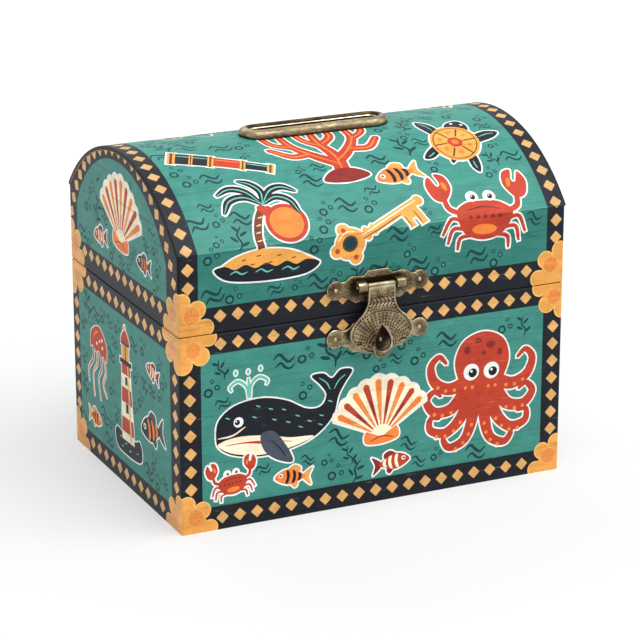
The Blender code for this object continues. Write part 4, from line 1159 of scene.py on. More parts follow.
end_sheet = end_frame + end_fillers + end_art + end_corners

for face, pictures in (("front", lid_art), ("back", placed(lid_art, 0, 0, turn=180))):
    lay_wall(f"lid_{face}_print", "lid", face, HALF_WIDTH, (LID_FOOT, MEETING_HEIGHT), (QUARTER, 0),
             on_rail(wrap_frame) + seam_row + on_rail(pictures) + rail_corners)
top_end = BOARD_END + BOARD_EDGE - 0.1
top_edge = frame_of((-top_end, -ARCH_RUN), (top_end, ARCH_RUN))
top_folds = BOARD_END - END_FOLD + (END_FOLD + LIFT) * QUARTER * np.linspace(0, 1, 4)
top_cut = cut_sheet(top_edge, wrap_frame + lid_art + [(stadium(*SLOT_OPENING), None)],
                    np.concatenate([-top_folds, top_folds]),
                    np.linspace(-ARCH_RUN, ARCH_RUN, ARCH_BENDS)[1:-1])
lay_sheet("lid_top_print", "lid", top_cut, top_surface, printed_paper("lid_top_paper"))
lay_end("lid_left_print", "left", end_sheet)
lay_end("lid_right_print", "right", placed(end_sheet, 0, 0, flip=True))


# Coin slot ring: a cast ring on the lid's crown, with a collar down the slot, in antique bronze:
# brown in its hollows, rubbed pale on its edges and painted in shade down the slot. Its band has
# the hammered look of a casting.
RING_SLOT = 41.8, 4.8
RING_WALL = 0.6
RING_BAND = 3.3
RING_CREST = 1.15
RING_STEP = 0.3, 1.62
RING_FOOT = 0.9
RING_SEAT = 0.15
COLLAR_FOOT = -1.8
ring_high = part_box("coin_slot_ring")[1]
RING_HEIGHT = (ring_high.z - board_high.z) / MM
RING_SPACING = 0.3
HAMMER_DEPTH = 0.009
HAMMER_PACE = 4.2
RING_DRAWN = 0.3, 1.6, 1.6
RIPPLE_WAVES = 9

# How often the patina's marks change in a metre each way
FINE_MARKS = 2300, 2300, 2300
CLOUDS = 330, 330, 330
BRUSHING = 900, 900, 5200
DARKEST_BRONZE = 0.06, (0.030, 0.020, 0.012, 1.0)
PALEST_BRONZE = 1.0, (0.76, 0.68, 0.50, 1.0)
BRONZES = ((0.32, (0.115, 0.082, 0.046, 1.0)), (0.52, (0.225, 0.175, 0.100, 1.0)),
           (0.75, (0.42, 0.355, 0.225, 1.0)))
# The patina's tone follows each piece's wear and the light and shade painted on it.
antique_patina, given, result = new_look("antique_patina", {"Wear_and_shading": "Float", "Place": "Vector"})
tree, place = antique_patina, given["Place"]
fine = stretched_noise(tree, place, FINE_MARKS, 3.0)
cloudy = stretched_noise(tree, place, CLOUDS, 3.0)
brushed = stretched_noise(tree, place, BRUSHING)
tone = calculate(tree, 'MULTIPLY_ADD', cloudy, 0.9, given["Wear_and_shading"])
tone = calculate(tree, 'MULTIPLY_ADD', fine, 0.75, tone)
tone = calculate(tree, 'MULTIPLY_ADD', brushed, 0.3, tone)
tone = ramp(tree, tone, 0.4, 1.55)
colours = add_node(tree, "ShaderNodeValToRGB", {"Fac": tone})
ends = colours.color_ramp.elements
ends[0].position, ends[0].color = DARKEST_BRONZE
ends[1].position, ends[1].color = PALEST_BRONZE
for position, colour in BRONZES:
    ends.new(position).color = colour
feed(tree, result, {"Colour": colours.outputs["Color"],
                    "Roughness": ramp(tree, tone, 0.0, 1.0, 0.52, 0.27),
                    "Height": calculate(tree, 'MULTIPLY_ADD', brushed, 0.5, fine)})


def bronze_finish(name, bump=0.5, wear_and_shading=0.0, drawn=(1.0, 1.0, 1.0)):
    """Antique bronze: its hollows and rubbed edges, and on some pieces painted light and shade,
    come from the piece's own wear_and_shading attribute. drawn is how fast the patina changes each
    way."""
    material, tree, shader = new_material(name)
    own = add_node(tree, "ShaderNodeTexCoord")
    worn = add_node(tree, "ShaderNodeAttribute", attribute_name="wear_and_shading")
    patina = add_node(tree, "ShaderNodeGroup", node_tree=antique_patina)
    feed(tree, patina, {"Wear_and_shading": calculate(tree, 'ADD', worn.outputs["Fac"], wear_and_shading)})
    along = add_node(tree, "ShaderNodeMapping", {"Vector": own.outputs["Object"], "Scale": drawn})
    feed(tree, patina, {"Place": along.outputs["Vector"]})
    shader.inputs["Metallic"].default_value = 1.0
    dress(tree, shader, patina.outputs, 0.03, bump)
    return material


def bronze_piece(name, places, faces, wear_and_shading, node, body, material):
    """A bronze piece, which can stand for a CAD node, with its wear and painted shading at each
    point.
    """
    piece = new_piece(name, places, faces, material, body)
    worn = piece.data.attributes.new("wear_and_shading", 'FLOAT', 'POINT')
    worn.data.foreach_set("value", np.asarray(wear_and_shading, np.float32))
    if node:
        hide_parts(node)
    return piece


def closed_grid(rows, columns):
    """Quads of a grid that closes on itself both ways."""
    row, column = np.meshgrid(np.arange(rows), np.arange(columns), indexing="ij")
    after_row, after_column = (row + 1) % rows, (column + 1) % columns
    corners = [(row, column), (row, after_column), (after_row, after_column), (after_row, column)]
    return np.stack([first * columns + second for first, second in corners], axis=-1).reshape(-1, 4)


def slot_path(length, width, spacing):
    """Points about evenly spaced round a slot with round ends, the way out at each, and how far
    along the slot it lies."""
    radius, straight = width / 2, length - width
    total = 2 * straight + 2 * math.pi * radius
    run = np.linspace(0, total, int(total / spacing), endpoint=False)
    half = total / 2
    side = np.where(run < half, 1, -1)
    along = run % half
    turn = np.clip((along - straight) / radius, 0, math.pi)
    x = np.where(along < straight, along - straight / 2, straight / 2) + radius * np.sin(turn)
    out = np.column_stack([side * np.sin(turn), -side * np.cos(turn)])
    return np.column_stack([side * x, -side * radius * np.cos(turn)]), out, run


def ripple(across, along, scale, seed):
    """A gentle uneven surface: waves of several lengths and directions summed, from -1 to 1."""
    random = np.random.default_rng(seed)
    total = 0
    for _ in range(RIPPLE_WAVES):
        angle, phase = random.uniform(0, 2 * math.pi, 2)
        pace = random.uniform(0.6, 1.5) * scale
        total = total + np.sin(pace * (across * math.cos(angle) + along * math.sin(angle)) + phase)
    return total / (RIPPLE_WAVES / 2)


turns = np.linspace(0, QUARTER, 15)
slope = np.column_stack([RING_STEP[0] + (RING_CREST - RING_STEP[0]) * (1 - np.cos(turns)),
                         RING_STEP[1] + (RING_HEIGHT - RING_STEP[1]) * np.sin(turns)])[1:-1]
shoulder = np.column_stack([RING_CREST + (RING_BAND - RING_CREST) * np.sin(turns),
                            RING_FOOT + (RING_HEIGHT - RING_FOOT) * np.cos(turns)])
ring_profile = np.vstack([[(0, COLLAR_FOOT), (0, 0.4), (0, 1.36), (0.07, 1.54), RING_STEP], slope,
                          shoulder, [(RING_BAND, 0.5), (RING_BAND - 0.05, RING_SEAT),
                                     (RING_WALL, RING_SEAT), (RING_WALL, COLLAR_FOOT)]])
ring_path, ring_out, ring_run = slot_path(*RING_SLOT, RING_SPACING)
offset, rise = ring_profile.T
on_band = (offset > RING_STEP[0]) & (rise > 0.4)
hammer = HAMMER_DEPTH * ripple(ring_run[:, None], offset * 1.0, HAMMER_PACE, 5) * on_band
plan = ring_path[:, None] + ring_out[:, None] * (offset + hammer)[..., None]
arch_height = ARCH_CENTRE + np.sqrt(ARCH_RADIUS ** 2 - plan[..., 1] ** 2)
ring_places = np.stack([plan[..., 0], plan[..., 1] + MIDDLE.y / MM,
                        arch_height + rise + hammer * 0.7], axis=-1)

# Where the ring is rubbed and where it is dark: crest, slope, step, collar and foot
# Painted shade darkens the slope and the collar in the slot; the step is rubbed and painted lit.
crest_share = np.exp(-((offset - RING_CREST - 0.45) / 0.6) ** 2) * (rise > 1.4)
slope_shade = (offset > RING_STEP[0] + 0.02) & (offset < RING_CREST - 0.1) & (rise > RING_STEP[1])
step_share = np.exp(-((offset - 0.14) / 0.14) ** 2) * (np.abs(rise - 1.6) < 0.12)
collar_shade = (offset < 0.03) & (rise < 1.5)
foot_share = np.clip((1.0 - rise) / 0.8, 0, 1)
ring_wear_and_shading = (0.26 * crest_share - 0.42 * slope_shade + 0.6 * step_share - 0.9 * collar_shade
             - 0.6 * foot_share + hammer / HAMMER_DEPTH * 0.06 - 0.02)
bronze_piece("coin_slot_ring_cast", ring_places.reshape(-1, 3) * MM,
             closed_grid(*ring_places.shape[:2]), ring_wear_and_shading.ravel(), "coin_slot_ring", "lid",
             bronze_finish("ring_bronze", drawn=RING_DRAWN))


# Hasp top plate: pressed from thin brass sheet, plated antique bronze and nailed to the lid's front
# rail. A beaded line runs inside its rolled rim, and a dish lies round each of its two nails.
SHEET = 0.7
PLATE_REACH = 0.85
NEAREST_BACK = 0.15
FINE_SPACING = 0.16
OUTLINE_SPACING = 0.2
RIM_RADIUS = 0.26
FRONT_FACE = front_low.y / MM
NAIL_SPREAD = 13.65
NAILS = np.array([(-NAIL_SPREAD, 0), (NAIL_SPREAD, 0)])
NAIL_HOLE = 0.5
LOBE_RADIUS = 2.9
OPEN_ANGLE = 130
TOP_PLATE_Z = 68.1
TOP_HALF_HEIGHT = 4.4
# Half outlines from top to bottom: share of the width, share of the height, bow to the next point
TOP_UPPER = ((0, 1.1, 0), (0.25, 1.1, 0), (0.34, 0.78, 0), (0.48, 0.80, -0.16), (0.77, 0.56, 0))
TOP_LOWER = ((0.77, -0.62, 0.06), (0.60, -0.90, -0.16), (0.42, -1.0, 0), (0, -1.0, 0))
# Radius of a nail's dish and of the collar round it, and where the beaded line runs inside the rim
DISH_RADIUS = 2.35
COLLAR_RADIUS = 2.3
BEAD_INSET = 0.62
STIPPLE_PACE = 6.5
# The recess the flap's knuckle turns in: its half width, foot and top about the plate's middle
WINDOW = 4.45, -2.6, 2.75
WINDOW_DEPTH = 0.6
WINDOW_EASE = 0.3
FEW_POINTS = 2000
BOW_STEPS = 9


def bowed(start, end, bow):
    """Points from start up to end, which is left out, bowed sideways by a share of the length."""
    share = np.arange(BOW_STEPS)[:, None] / BOW_STEPS
    start, run = np.array(start), np.subtract(end, start)
    return start + run * share + np.array((run[1], -run[0])) * 4 * bow * share * (1 - share)


def outline_down(shares, size):
    """Half an outline from (width share, height share, bow to the next point), top to bottom."""
    points = [np.multiply(share[:2], size) for share in shares]
    return np.vstack([bowed(a, b, share[2]) if share[2] else a[None] for share, a, b in
                      zip(shares, points, points[1:])] + [points[-1]])


def both_halves(half):
    """A closed outline from its right half, listed from top to bottom."""
    return anticlockwise(np.vstack([half, half[half[:, 0] > 0][::-1] * (-1, 1)]))


def evenly(loop):
    """A closed loop with points about evenly spaced along it."""
    closed = np.vstack([loop, loop[:1]])
    run = np.concatenate([[0], np.cumsum(np.hypot(*np.diff(closed, axis=0).T))])
    wanted = np.linspace(0, run[-1], int(run[-1] / OUTLINE_SPACING), endpoint=False)
    return np.column_stack([np.interp(wanted, run, part) for part in closed.T])


def few_at_once(points):
    """The points in groups small enough to be measured against everything at once."""
    return np.array_split(points, max(1, len(points) // FEW_POINTS))


def nearest_edge(points, loop):
    """Distance from each point to a closed loop, and how far along it the nearest place lies."""
    start, run = loop, np.roll(loop, -1, 0) - loop
    length = np.hypot(*run.T)
    passed = np.concatenate([[0], np.cumsum(length)[:-1]])
    found = []
    for some in few_at_once(points):
        gap = some[:, None] - start
        share = np.clip((gap * run).sum(-1) / length ** 2, 0, 1)
        away = np.hypot(*(gap - share[..., None] * run).transpose(2, 0, 1))
        best = away.argmin(1)
        rows = np.arange(len(some))
        place = passed[best] + share[rows, best] * length[best]
        found.append(np.column_stack([away[rows, best], place]))
    return np.vstack(found).T


def sheet_points(outline, holes, spacing):
    """A pressed sheet cut into fine triangles, with rows of points close along its edges."""
    low, high = outline.min(0), outline.max(0)
    across, up = (np.arange(a, b, spacing) for a, b in zip(low, high))
    grid = np.stack(np.meshgrid(across, up), axis=-1)
    grid[::2, :, 0] += spacing / 2
    grid = grid.reshape(-1, 2)
    edges = [nearest_edge(grid, loop)[0] for loop in [outline] + holes]
    grid = grid[np.min(edges, axis=0) > RIM_RADIUS + spacing / 3]
    rows = [grown(loop, side * RIM_RADIUS * share) for side, group in ((-1, [outline]), (1, holes))
            for loop in group for share in (0.12, 0.4, 1.0)]
    inner = np.vstack(rows + [grid])
    flat, faces, _ = cut_sheet(outline, [(hole, None) for hole in holes], inner=inner)
    return flat, faces


def thick_sheet(flat, faces, front, back):
    """A closed body from a flat cut: its front, its back the other way round, and its edges."""
    count = len(flat)
    pairs = np.vstack([faces[:, [0, 1]], faces[:, [1, 2]], faces[:, [2, 0]]])
    forward, backward = pairs[:, 0] * count + pairs[:, 1], pairs[:, 1] * count + pairs[:, 0]
    a, b = pairs[~np.isin(forward, backward)].T
    walls = [np.column_stack([b, a, a + count]), np.column_stack([b, a + count, b + count])]
    return np.vstack([front, back]), np.vstack([faces, faces[:, ::-1] + count] + walls)


def eased(share):
    """From 0 to 1 with level ends."""
    share = np.clip(share, 0, 1)
    return share * share * (3 - 2 * share)


def hump(value, width, power=2):
    """1 where a value is 0, falling to 0 on both sides over a width."""
    return np.exp(-(value / width) ** power)


def rounded_rim(distance):
    """Fall of a sheet's front towards its edge, a quarter circle."""
    inside = np.clip(1 - distance / RIM_RADIUS, 0, 1)
    return -RIM_RADIUS * (1 - np.sqrt(1 - inside ** 2)) * 0.8


def on_front(flat, reach, middle_z):
    """Places of flat points on the chest's front, at a reach from the front boards' face."""
    return np.column_stack([flat[:, 0], FRONT_FACE - reach, middle_z + flat[:, 1]]) * MM


def plate_outline(upper, lower, half_height):
    """A plate with a round lobe about each nail and a shaped middle."""
    lobe = [turned((LOBE_RADIUS, 0), turn) + (NAIL_SPREAD, 0)
            for turn in np.linspace(OPEN_ANGLE, -OPEN_ANGLE, 34)]
    size = NAIL_SPREAD, half_height
    half = np.vstack([outline_down(upper, size), lobe, outline_down(lower, size)])
    return evenly(both_halves(half))


def plate_relief(flat, outline, seed):
    """Relief and wear of a plate: a round rim, a beaded line inside it, and a dish with a stippled
    floor at each nail."""
    edge, _ = nearest_edge(flat, outline)
    relief = rounded_rim(edge)
    from_nail = np.hypot(*(flat[:, None] - NAILS).transpose(2, 0, 1)).min(1)
    dish = np.clip(1 - (from_nail / DISH_RADIUS) ** 2, 0, 1)
    collar = hump(from_nail - COLLAR_RADIUS, 0.22) * (edge > 0.3)
    bead = hump(edge - BEAD_INSET, 0.16) * (from_nail > 2.7)
    stipple = ripple(flat[:, 0], flat[:, 1], STIPPLE_PACE, seed)
    relief = relief - 0.2 * dish + 0.03 * collar + 0.05 * bead + 0.022 * stipple * (edge > 0.4)
    rim = hump(edge, 0.26)
    wear_and_shading = 0.42 * rim + 0.12 * bead + 0.08 * collar - 0.14 * dish ** 2 - 0.02 + 0.1 * stipple
    return relief, wear_and_shading


def lay_plate(name, cut, middle_z, relief, wear_and_shading, node, body):
    """A plate against the paper, its front pressed out and its back a sheet's thickness behind."""
    flat, faces = cut
    front = PLATE_REACH + relief
    back = np.maximum(front - SHEET, NEAREST_BACK)
    places, triangles = thick_sheet(flat, faces, on_front(flat, front, middle_z),
                                    on_front(flat, back, middle_z))
    wear_and_shading = np.concatenate([wear_and_shading, wear_and_shading * 0 - 0.2])
    bronze_piece(name, places, triangles, wear_and_shading, node, body, hasp_bronze)


hasp_bronze = bronze_finish("hasp_bronze")
bright_bronze = bronze_finish("rubbed_bronze", 0.3, 0.28)
nail_holes = [oval(x, 0, NAIL_HOLE, sides=16)[::-1] for x, _ in NAILS]
top_outline = plate_outline(TOP_UPPER, TOP_LOWER, TOP_HALF_HEIGHT)
flat, faces = sheet_points(top_outline, nail_holes, FINE_SPACING)
relief, wear_and_shading = plate_relief(flat, top_outline, 11)
x, z = flat.T
# Painted shade round the knuckles, heavier on the left, and painted shadow in the knuckle's recess.
knuckle_shade = np.exp(-(((np.abs(x) - 6.4) / 2.6) ** 4 + ((z - 0.3) / 2.6) ** 4))
knuckle_shade = knuckle_shade * np.where(x < 0, 1.7, 1.0)
window_half, window_foot, window_top = WINDOW
window = eased((window_half - np.abs(x)) / WINDOW_EASE) * eased((window_top - z) / WINDOW_EASE)
window = window * eased((z - window_foot) / WINDOW_EASE)
lay_plate("hasp_top_plate_pressed", (flat, faces), TOP_PLATE_Z, relief - WINDOW_DEPTH * window,
          wear_and_shading - 0.16 - 0.38 * knuckle_shade - 1.5 * window, "hasp_top_plate", "lid")


# Hasp knuckles: the top plate's sheet rolled round the pin at both sides, and the flap's own
# knuckle between them, which is rolled tighter and turns with the flap.
PIN_REACH = 2.65
PIN_Z = 68.8
PIN_HOLE = 0.65
FRONT_BEND = 96
BACK_BEND = 108
KNUCKLE_FOOT = 0.5
KNUCKLE_ROUNDING = 0.18 * MM


def roll(name, radius, foot_half, span, body, wear_and_shading):
    """A knuckle of rolled sheet: round the pin in front, then back to the plate if it has a foot
    there or else right round, extruded along X."""
    bend = [turned((radius, 0), turn) for turn in np.linspace(-FRONT_BEND, FRONT_BEND, 30)]
    if foot_half:
        bend += [(KNUCKLE_FOOT - PIN_REACH, foot_half), (KNUCKLE_FOOT - PIN_REACH, -foot_half)]
    else:
        bend += [turned((radius, 0), turn) for turn in np.linspace(BACK_BEND, 360 - BACK_BEND, 14)]
    flat, faces, _ = cut_sheet(anticlockwise(np.vstack(bend)), [(oval(0, 0, PIN_HOLE), None)])
    ends = [np.column_stack([np.full(len(flat), x), FRONT_FACE - PIN_REACH - flat[:, 0],
                             PIN_Z + flat[:, 1]]) * MM for x in span[::-1]]
    places, triangles = thick_sheet(flat, faces, *ends)
    wear_and_shading = np.full(len(places), wear_and_shading)
    piece = bronze_piece(name, places, triangles, wear_and_shading, None, body, hasp_bronze)
    rounding = piece.modifiers.new("rounding", 'BEVEL')
    rounding.width, rounding.segments, rounding.limit_method = KNUCKLE_ROUNDING, 3, 'ANGLE'
    rounding.angle_limit = math.radians(40)


for side, span in (("left", (-7.7, -4.75)), ("right", (4.75, 7.7))):
    roll(f"hasp_{side}_knuckle", 1.55, 1.5, span, "lid", -0.05)
roll("hasp_flap_knuckle", 0.98, 0, (-4.35, 4.35), "hasp_flap", 0.05)


# Hasp catch plate: the same sheet nailed to the box's front, and pressed out into the nose that the
# flap's mouth snaps over. The nose has a painted glint at its tip and painted shade over it and
# round it inside the mouth, and is dark round its foot.
CATCH_PLATE_Z = 53.3
CATCH_HALF_HEIGHT = 4.6
CATCH_UPPER = ((0, 1.0, 0), (0.36, 1.0, -0.12), (0.62, 0.80, 0.10), (0.77, 0.50, 0))
CATCH_LOWER = ((0.77, -0.60, 0.08), (0.64, -0.88, -0.18), (0.46, -1.0, -0.12), (0, -1.2, 0))
NOSE_HALF = 1.9, 3.0
NOSE_HEIGHT = 1.95
NOSE_DROP = 1.2
catch_outline = plate_outline(CATCH_UPPER, CATCH_LOWER, CATCH_HALF_HEIGHT)
flat, faces = sheet_points(catch_outline, nail_holes, FINE_SPACING)
relief, wear_and_shading = plate_relief(flat, catch_outline, 12)
x, z = flat.T
off_nose = np.hypot(x / NOSE_HALF[0], (z + NOSE_DROP) / NOSE_HALF[1])
swell = np.cos(np.minimum(off_nose, 1) * QUARTER) ** 0.7
foot_groove = hump(off_nose - 1.02, 0.06)
mouth_shade = hump(off_nose, 1.8, 6)
# On the nose: painted shade over it and round it in the mouth, and a painted glint at its tip.
lay_plate("hasp_catch_plate_pressed", (flat, faces), CATCH_PLATE_Z, relief + NOSE_HEIGHT * swell,
          wear_and_shading - 0.5 * swell + 1.25 * swell ** 14 - 0.5 * foot_groove - 0.4 * mouth_shade,
          "hasp_catch_plate", "box")


# Hasp flap: one pressed sheet that hangs from its knuckle and swells out to its teardrop mouth. Its
# face is punched with dots in a fan, and has a herringbone band across the neck.
FLAP_SHARES = ((0.43, 0, 0), (0.43, -0.19, 0.10), (0.72, -0.42, -0.09), (1.0, -0.62, -0.14),
               (0.87, -0.77, -0.25), (0.68, -0.80, -0.25), (0.50, -0.825, -0.25), (0.29, -0.862, 0))
FLAP_SIZE = 10.1, 22.2
FLAP_SPACING = 0.14
FLAP_FLAT = 0.75
FLAP_TOP = 0.98
FLAP_BEND = 7.5
FLAP_SWELL = 1.15
MOUTH = 12.0, 17.3, 2.6
MOUTH_BOW = -0.08
# Dots of the fan: its centre, the step between its rows, the turn between its dots, how near they
# come to the flap's edge and to the mouth, and the height they stay below
FAN_CENTRE = np.array((0, -18.0))
FAN_STEP = 0.86
FAN_TURN = 8.0
FAN_ROOM = 1.15, 0.7
FAN_TOP = -7.3
FAN_DOT = 0.3
# Dots along the rim, and the two level rows above and below the herringbone
RIM_DOT_INSET = 0.72
ROW_LEVELS = -2.8, -7.05
ROW_DOT = 0.25
DOT_PITCH = 0.86
NECK_INSET = 0.7
# Leaves of the herringbone: their rows with the way they lean, their pitch and half axes
BAND_TOP, BAND_FOOT = 3.15, 6.6
LEAF_ROWS = (-4.2, -50), (-5.8, 50)
LEAF_PITCH = 1.22
LEAF_HALF = 0.95, 0.3


def pits(points, centres, radius):
    """1 at the middle of each punched dot and 0 outside them, a rounded bowl between."""
    near = np.concatenate([np.hypot(*(some[:, None] - centres).transpose(2, 0, 1)).min(1)
                           for some in few_at_once(points)])
    return np.clip(1 - (near / radius) ** 2, 0, 1)


def flap_front(z, from_mouth):
    """Reach of the flap's front from the pin: over the knuckle, flat below it, out to the mouth."""
    bend = FLAP_TOP + (FLAP_FLAT - FLAP_TOP) * eased(-z / FLAP_BEND)
    return bend + FLAP_SWELL * eased(1 - from_mouth / 3.0) * eased((-z - 10.0) / 6.0)


half = outline_down(FLAP_SHARES, FLAP_SIZE)
lip_radius = half[-1, 0]
half = np.vstack([half] + [turned((lip_radius, 0), -turn) + (0, lip_radius - FLAP_SIZE[1])
                           for turn in np.linspace(8, 90, 11)])
half[-1, 0] = 0
flap_outline = evenly(both_halves(half))
mouth_top, mouth_middle, mouth_radius = MOUTH
mouth_low = np.array([turned((mouth_radius, 0), -turn) + (0, -mouth_middle)
                      for turn in np.linspace(0, 180, 26)])
mouth = evenly(np.vstack([bowed((0, -mouth_top), mouth_low[0], MOUTH_BOW), mouth_low[:-1],
                          bowed(mouth_low[-1], (0, -mouth_top), MOUTH_BOW)]))
flat, faces = sheet_points(flap_outline, [anticlockwise(mouth)], FLAP_SPACING)
edge, run = nearest_edge(flat, flap_outline)
from_mouth, _ = nearest_edge(flat, mouth)
x, z = flat.T

# Punched dots in a fan, along the rim and in rows across the neck, and the herringbone
fan = np.array([turned((radius, 0), 90 + turn) + FAN_CENTRE
                for radius in np.arange(FAN_STEP * 3, 15, FAN_STEP)
                for turn in np.arange(-130, 131, FAN_TURN) / (1 if radius < 9.5 else 2)
                if abs(turn) < 126])
to_edge, to_mouth = (nearest_edge(fan, loop)[0] for loop in (flap_outline, mouth))
fan = fan[winds_round(flap_outline, fan) & ~winds_round(mouth, fan) & (to_edge > FAN_ROOM[0])
          & (to_mouth > FAN_ROOM[1]) & (fan[:, 1] < FAN_TOP)]
dots = pits(flat, fan, FAN_DOT)
below_neck = eased((-z - 2.2) / 0.8)
rim_dots = hump(edge - RIM_DOT_INSET, 0.22)
rim_dots = rim_dots * np.clip(np.cos(run * 2 * math.pi / DOT_PITCH) + 0.55, 0, 1.55) / 1.55
rim_dots = rim_dots * below_neck * (from_mouth > 0.5)
rows = np.array([(column, level)
                 for level in ROW_LEVELS for column in np.arange(-6, 6.1, DOT_PITCH)])
in_neck = edge > NECK_INSET
row_dots = pits(flat, rows, ROW_DOT) * in_neck
band = eased((-z - BAND_TOP) / 0.2) * eased((z + BAND_FOOT) / 0.2) * in_neck
leaves = 0
off_column = x - np.round(x / LEAF_PITCH) * LEAF_PITCH
for level, lean in LEAF_ROWS:
    along, across = (turned(np.column_stack([off_column, z - level]), -lean) / LEAF_HALF).T
    leaves = np.maximum(leaves, np.clip(1 - along ** 2 - across ** 2, 0, 1))
leaves = leaves ** 0.6 * band

# The relief, and the wear that follows it: bright on rims and leaves, dark in the punched dots
rim_line = hump(edge - 0.3, 0.14) * below_neck
mouth_bead = hump(from_mouth - 0.28, 0.17)
relief = rounded_rim(edge) + rounded_rim(from_mouth) + 0.06 * rim_line + 0.05 * mouth_bead
relief = relief - 0.15 * dots - 0.16 * rim_dots - 0.1 * row_dots - 0.04 * band + 0.15 * leaves
relief = relief + 0.012 * ripple(x, z, 5.0, 13)
# Painted light: the rim is lit more towards the right, and the top along the knuckle is lit.
lit = eased((x + 7) / 14)
wear_and_shading = (0.2 + 0.24 * lit) * hump(edge, 0.3) + 0.25 * hump(z, 0.8) - 0.3 * band
wear_and_shading = wear_and_shading + np.where(z > -5, 0.5, 0.75) * leaves
# The mouth's bead is painted lit on its right and in shade on its left.
wear_and_shading = wear_and_shading + 0.42 * (eased((x + 1.6) / 2.4) - 0.6) * mouth_bead
# Painted shade left of the mouth.
shaded = np.exp(-((x + 2.9) / 1.3) ** 2 - ((z + 15.6) / 2.6) ** 2)
wear_and_shading = wear_and_shading - 0.9 * dots - 1.5 * rim_dots - 0.7 * row_dots - 0.5 * shaded + 0.04
front = flap_front(z, from_mouth)
back = front - 0.4 - 0.4 * eased(-z / 1.5)
places, triangles = thick_sheet(flat, faces, on_front(flat, PIN_REACH + front + relief, PIN_Z),
                                on_front(flat, PIN_REACH + back, PIN_Z))
bronze_piece("hasp_flap_pressed", places, triangles, np.concatenate([wear_and_shading, wear_and_shading * 0 - 0.1]),
             "hasp_flap", "hasp_flap", hasp_bronze)


# Hasp nails and pin: four small round-headed nails of the same bronze, rubbed bright on their
# heads and driven through the plates, and the pin that goes through the knuckles.
NAIL_SIDES = 20
NAIL_SEAT = 0.62
NAIL_RADIUS = 0.66
NAIL_DOME = 0.45
NAIL_LENGTH = 2.6
SHANK_RADIUS = 0.3


def nail(radius, dome, shank, seat=0.0):
    """A nail spun about its axis from (radius, height) pairs: a quarter ellipse for the head, a
    rounded underside and a straight shank, with a fan of triangles at either end."""
    turns = np.linspace(0, QUARTER, 7)[1:]
    profile = np.vstack([np.column_stack([radius * np.sin(turns), dome * np.cos(turns)]),
                         [(radius - 0.06, -0.1), (SHANK_RADIUS, -0.16), (SHANK_RADIUS, -shank)]])
    profile = profile + (0, seat)
    turn = np.arange(NAIL_SIDES) * 2 * math.pi / NAIL_SIDES
    out, height = profile.T[:, :, None]
    rings = np.stack([out * np.cos(turn), out * np.sin(turn), height + 0 * turn], axis=-1)
    rings = rings.reshape(-1, 3)
    here = np.arange(NAIL_SIDES)
    after = (here + 1) % NAIL_SIDES
    last = (len(profile) - 1) * NAIL_SIDES
    top, foot = len(rings), len(rings) + 1
    band = np.column_stack([here, here + NAIL_SIDES, after + NAIL_SIDES, after])
    faces = [band + row * NAIL_SIDES for row in range(len(profile) - 1)]
    faces += [np.column_stack([here, after, here * 0 + top]),
              np.column_stack([after + last, here + last, here * 0 + foot])]
    points = np.vstack([rings, (0, 0, seat + dome), (0, 0, profile[-1, 1])])
    return points, [face for group in faces for face in group.tolist()]


def lay_nail(name, places, faces, node, body):
    """A bright nail that stands for a CAD node."""
    bronze_piece(name, places, faces, np.zeros(len(places)), node, body, bright_bronze)


points, faces = nail(NAIL_RADIUS, NAIL_DOME, NAIL_LENGTH, NAIL_SEAT)
for plate, middle_z, body in (("top", TOP_PLATE_Z, "lid"), ("catch", CATCH_PLATE_Z, "box")):
    for side, centre in zip(("left", "right"), NAILS):
        places = on_front(points[:, :2] + centre, points[:, 2], middle_z)
        lay_nail(f"hasp_{plate}_{side}_nail_head", places, faces, f"hasp_{plate}_nail_{side}", body)
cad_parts["hasp_pin"].data.materials[0] = hasp_bronze


# Back hinges: two pairs of bare pressed leaves in the same bronze, rolled about a pin and nailed
# on outside the back, one leaf of each pair to the lid and one to the box.
HINGE_NAIL_DOME = 0.36
hinge_bronze = bronze_finish("hinge_bronze", 0.5, 0.05)
for name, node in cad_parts.items():
    if name.startswith("hinge_") and "nail" not in name:
        node.data.materials[0] = hinge_bronze
    elif name.startswith("hinge_"):
        nail_low, nail_high = (np.array(corner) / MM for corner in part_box(name))
        middle = (nail_low + nail_high) / 2
        face_y = nail_high[1] - HINGE_NAIL_DOME
        points, faces = nail((nail_high[0] - nail_low[0]) / 2, HINGE_NAIL_DOME,
                             nail_high[1] - nail_low[1] - HINGE_NAIL_DOME)
        places = np.column_stack([middle[0] - points[:, 0], face_y + points[:, 2],
                                  middle[2] + points[:, 1]]) * MM
        lay_nail(name + "_head", places, faces, name, "lid" if "_lid_" in name else "box")


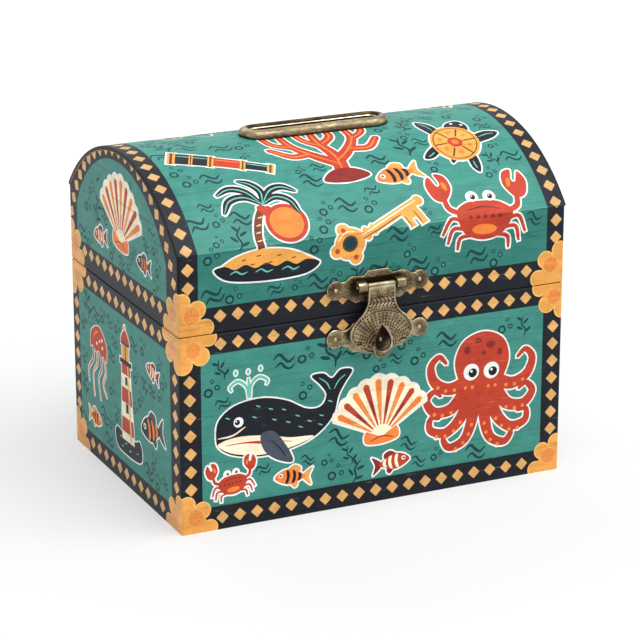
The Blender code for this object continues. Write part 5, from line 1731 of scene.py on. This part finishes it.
# Boards: fibreboard left bare inside and below, where its grain shows. The two rims
# that meet at the seam are painted as dark as the paper's band, up to the edge of the paper.
LONG_GRAIN = 90, 900, 900
FLECKS = 1400, 1400, 1400
DARK_FIBRE = (0.30, 0.185, 0.095, 1.0)
PALE_FIBRE = (0.55, 0.39, 0.24, 1.0)
RIM_PAINT = (*ink(26, 28, 34), 1.0)
RIM_DEPTH = 0.25
PAINT_EDGE = 0.06
BOX_RIM = BOX_TOP - RIM_DEPTH - PAINT_EDGE, BOX_TOP - RIM_DEPTH
LID_RIM = LID_FOOT + RIM_DEPTH + PAINT_EDGE, LID_FOOT + RIM_DEPTH
fibreboard, given, result = new_look("fibreboard", {"Place": "Vector"})
tree, place = fibreboard, given["Place"]
long_grain = stretched_noise(tree, place, LONG_GRAIN, 4.0)
flecks = stretched_noise(tree, place, FLECKS)
tone = calculate(tree, 'MULTIPLY_ADD', flecks, 0.6, long_grain)
feed(tree, result, {"Colour": blend(tree, ramp(tree, tone, 0.55, 1.05), DARK_FIBRE, PALE_FIBRE),
                    "Roughness": ramp(tree, flecks, 0.3, 0.7, 0.7, 0.9), "Height": tone})


def board_finish(name, rim=None, turn=0.0):
    """Fibreboard: bare, or with paint from one height to another, in millimetres, on its rim. turn
    is how far its grain is turned from the chest's length."""
    material, tree, shader = new_material(name)
    own = add_node(tree, "ShaderNodeTexCoord")
    grain = add_node(tree, "ShaderNodeGroup", node_tree=fibreboard)
    lying = add_node(tree, "ShaderNodeMapping", {"Vector": own.outputs["Object"],
                                                 "Rotation": (0.0, 0.0, turn)})
    feed(tree, grain, {"Place": lying.outputs["Vector"]})
    colour = grain.outputs["Colour"]
    if rim:
        place = add_node(tree, "ShaderNodeSeparateXYZ", {"Vector": own.outputs["Object"]})
        near_rim = ramp(tree, place.outputs["Z"], *(height * MM for height in rim))
        colour = blend(tree, near_rim, colour, RIM_PAINT)
    dress(tree, shader, grain.outputs, 0.05, 0.4, colour)
    return material


bare_board = board_finish("bare_board")
for ending, material in (("_panel", board_finish("box_wall_board", BOX_RIM)),
                         ("_side_panel", board_finish("box_side_board", BOX_RIM, QUARTER)),
                         ("_rail", board_finish("lid_rail_board", LID_RIM)),
                         ("_end", board_finish("lid_end_board", LID_RIM, QUARTER)),
                         ("base_panel", bare_board), ("lid_arched_top", bare_board)):
    for name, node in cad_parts.items():
        if name.endswith(ending):
            node.data.materials[0] = material
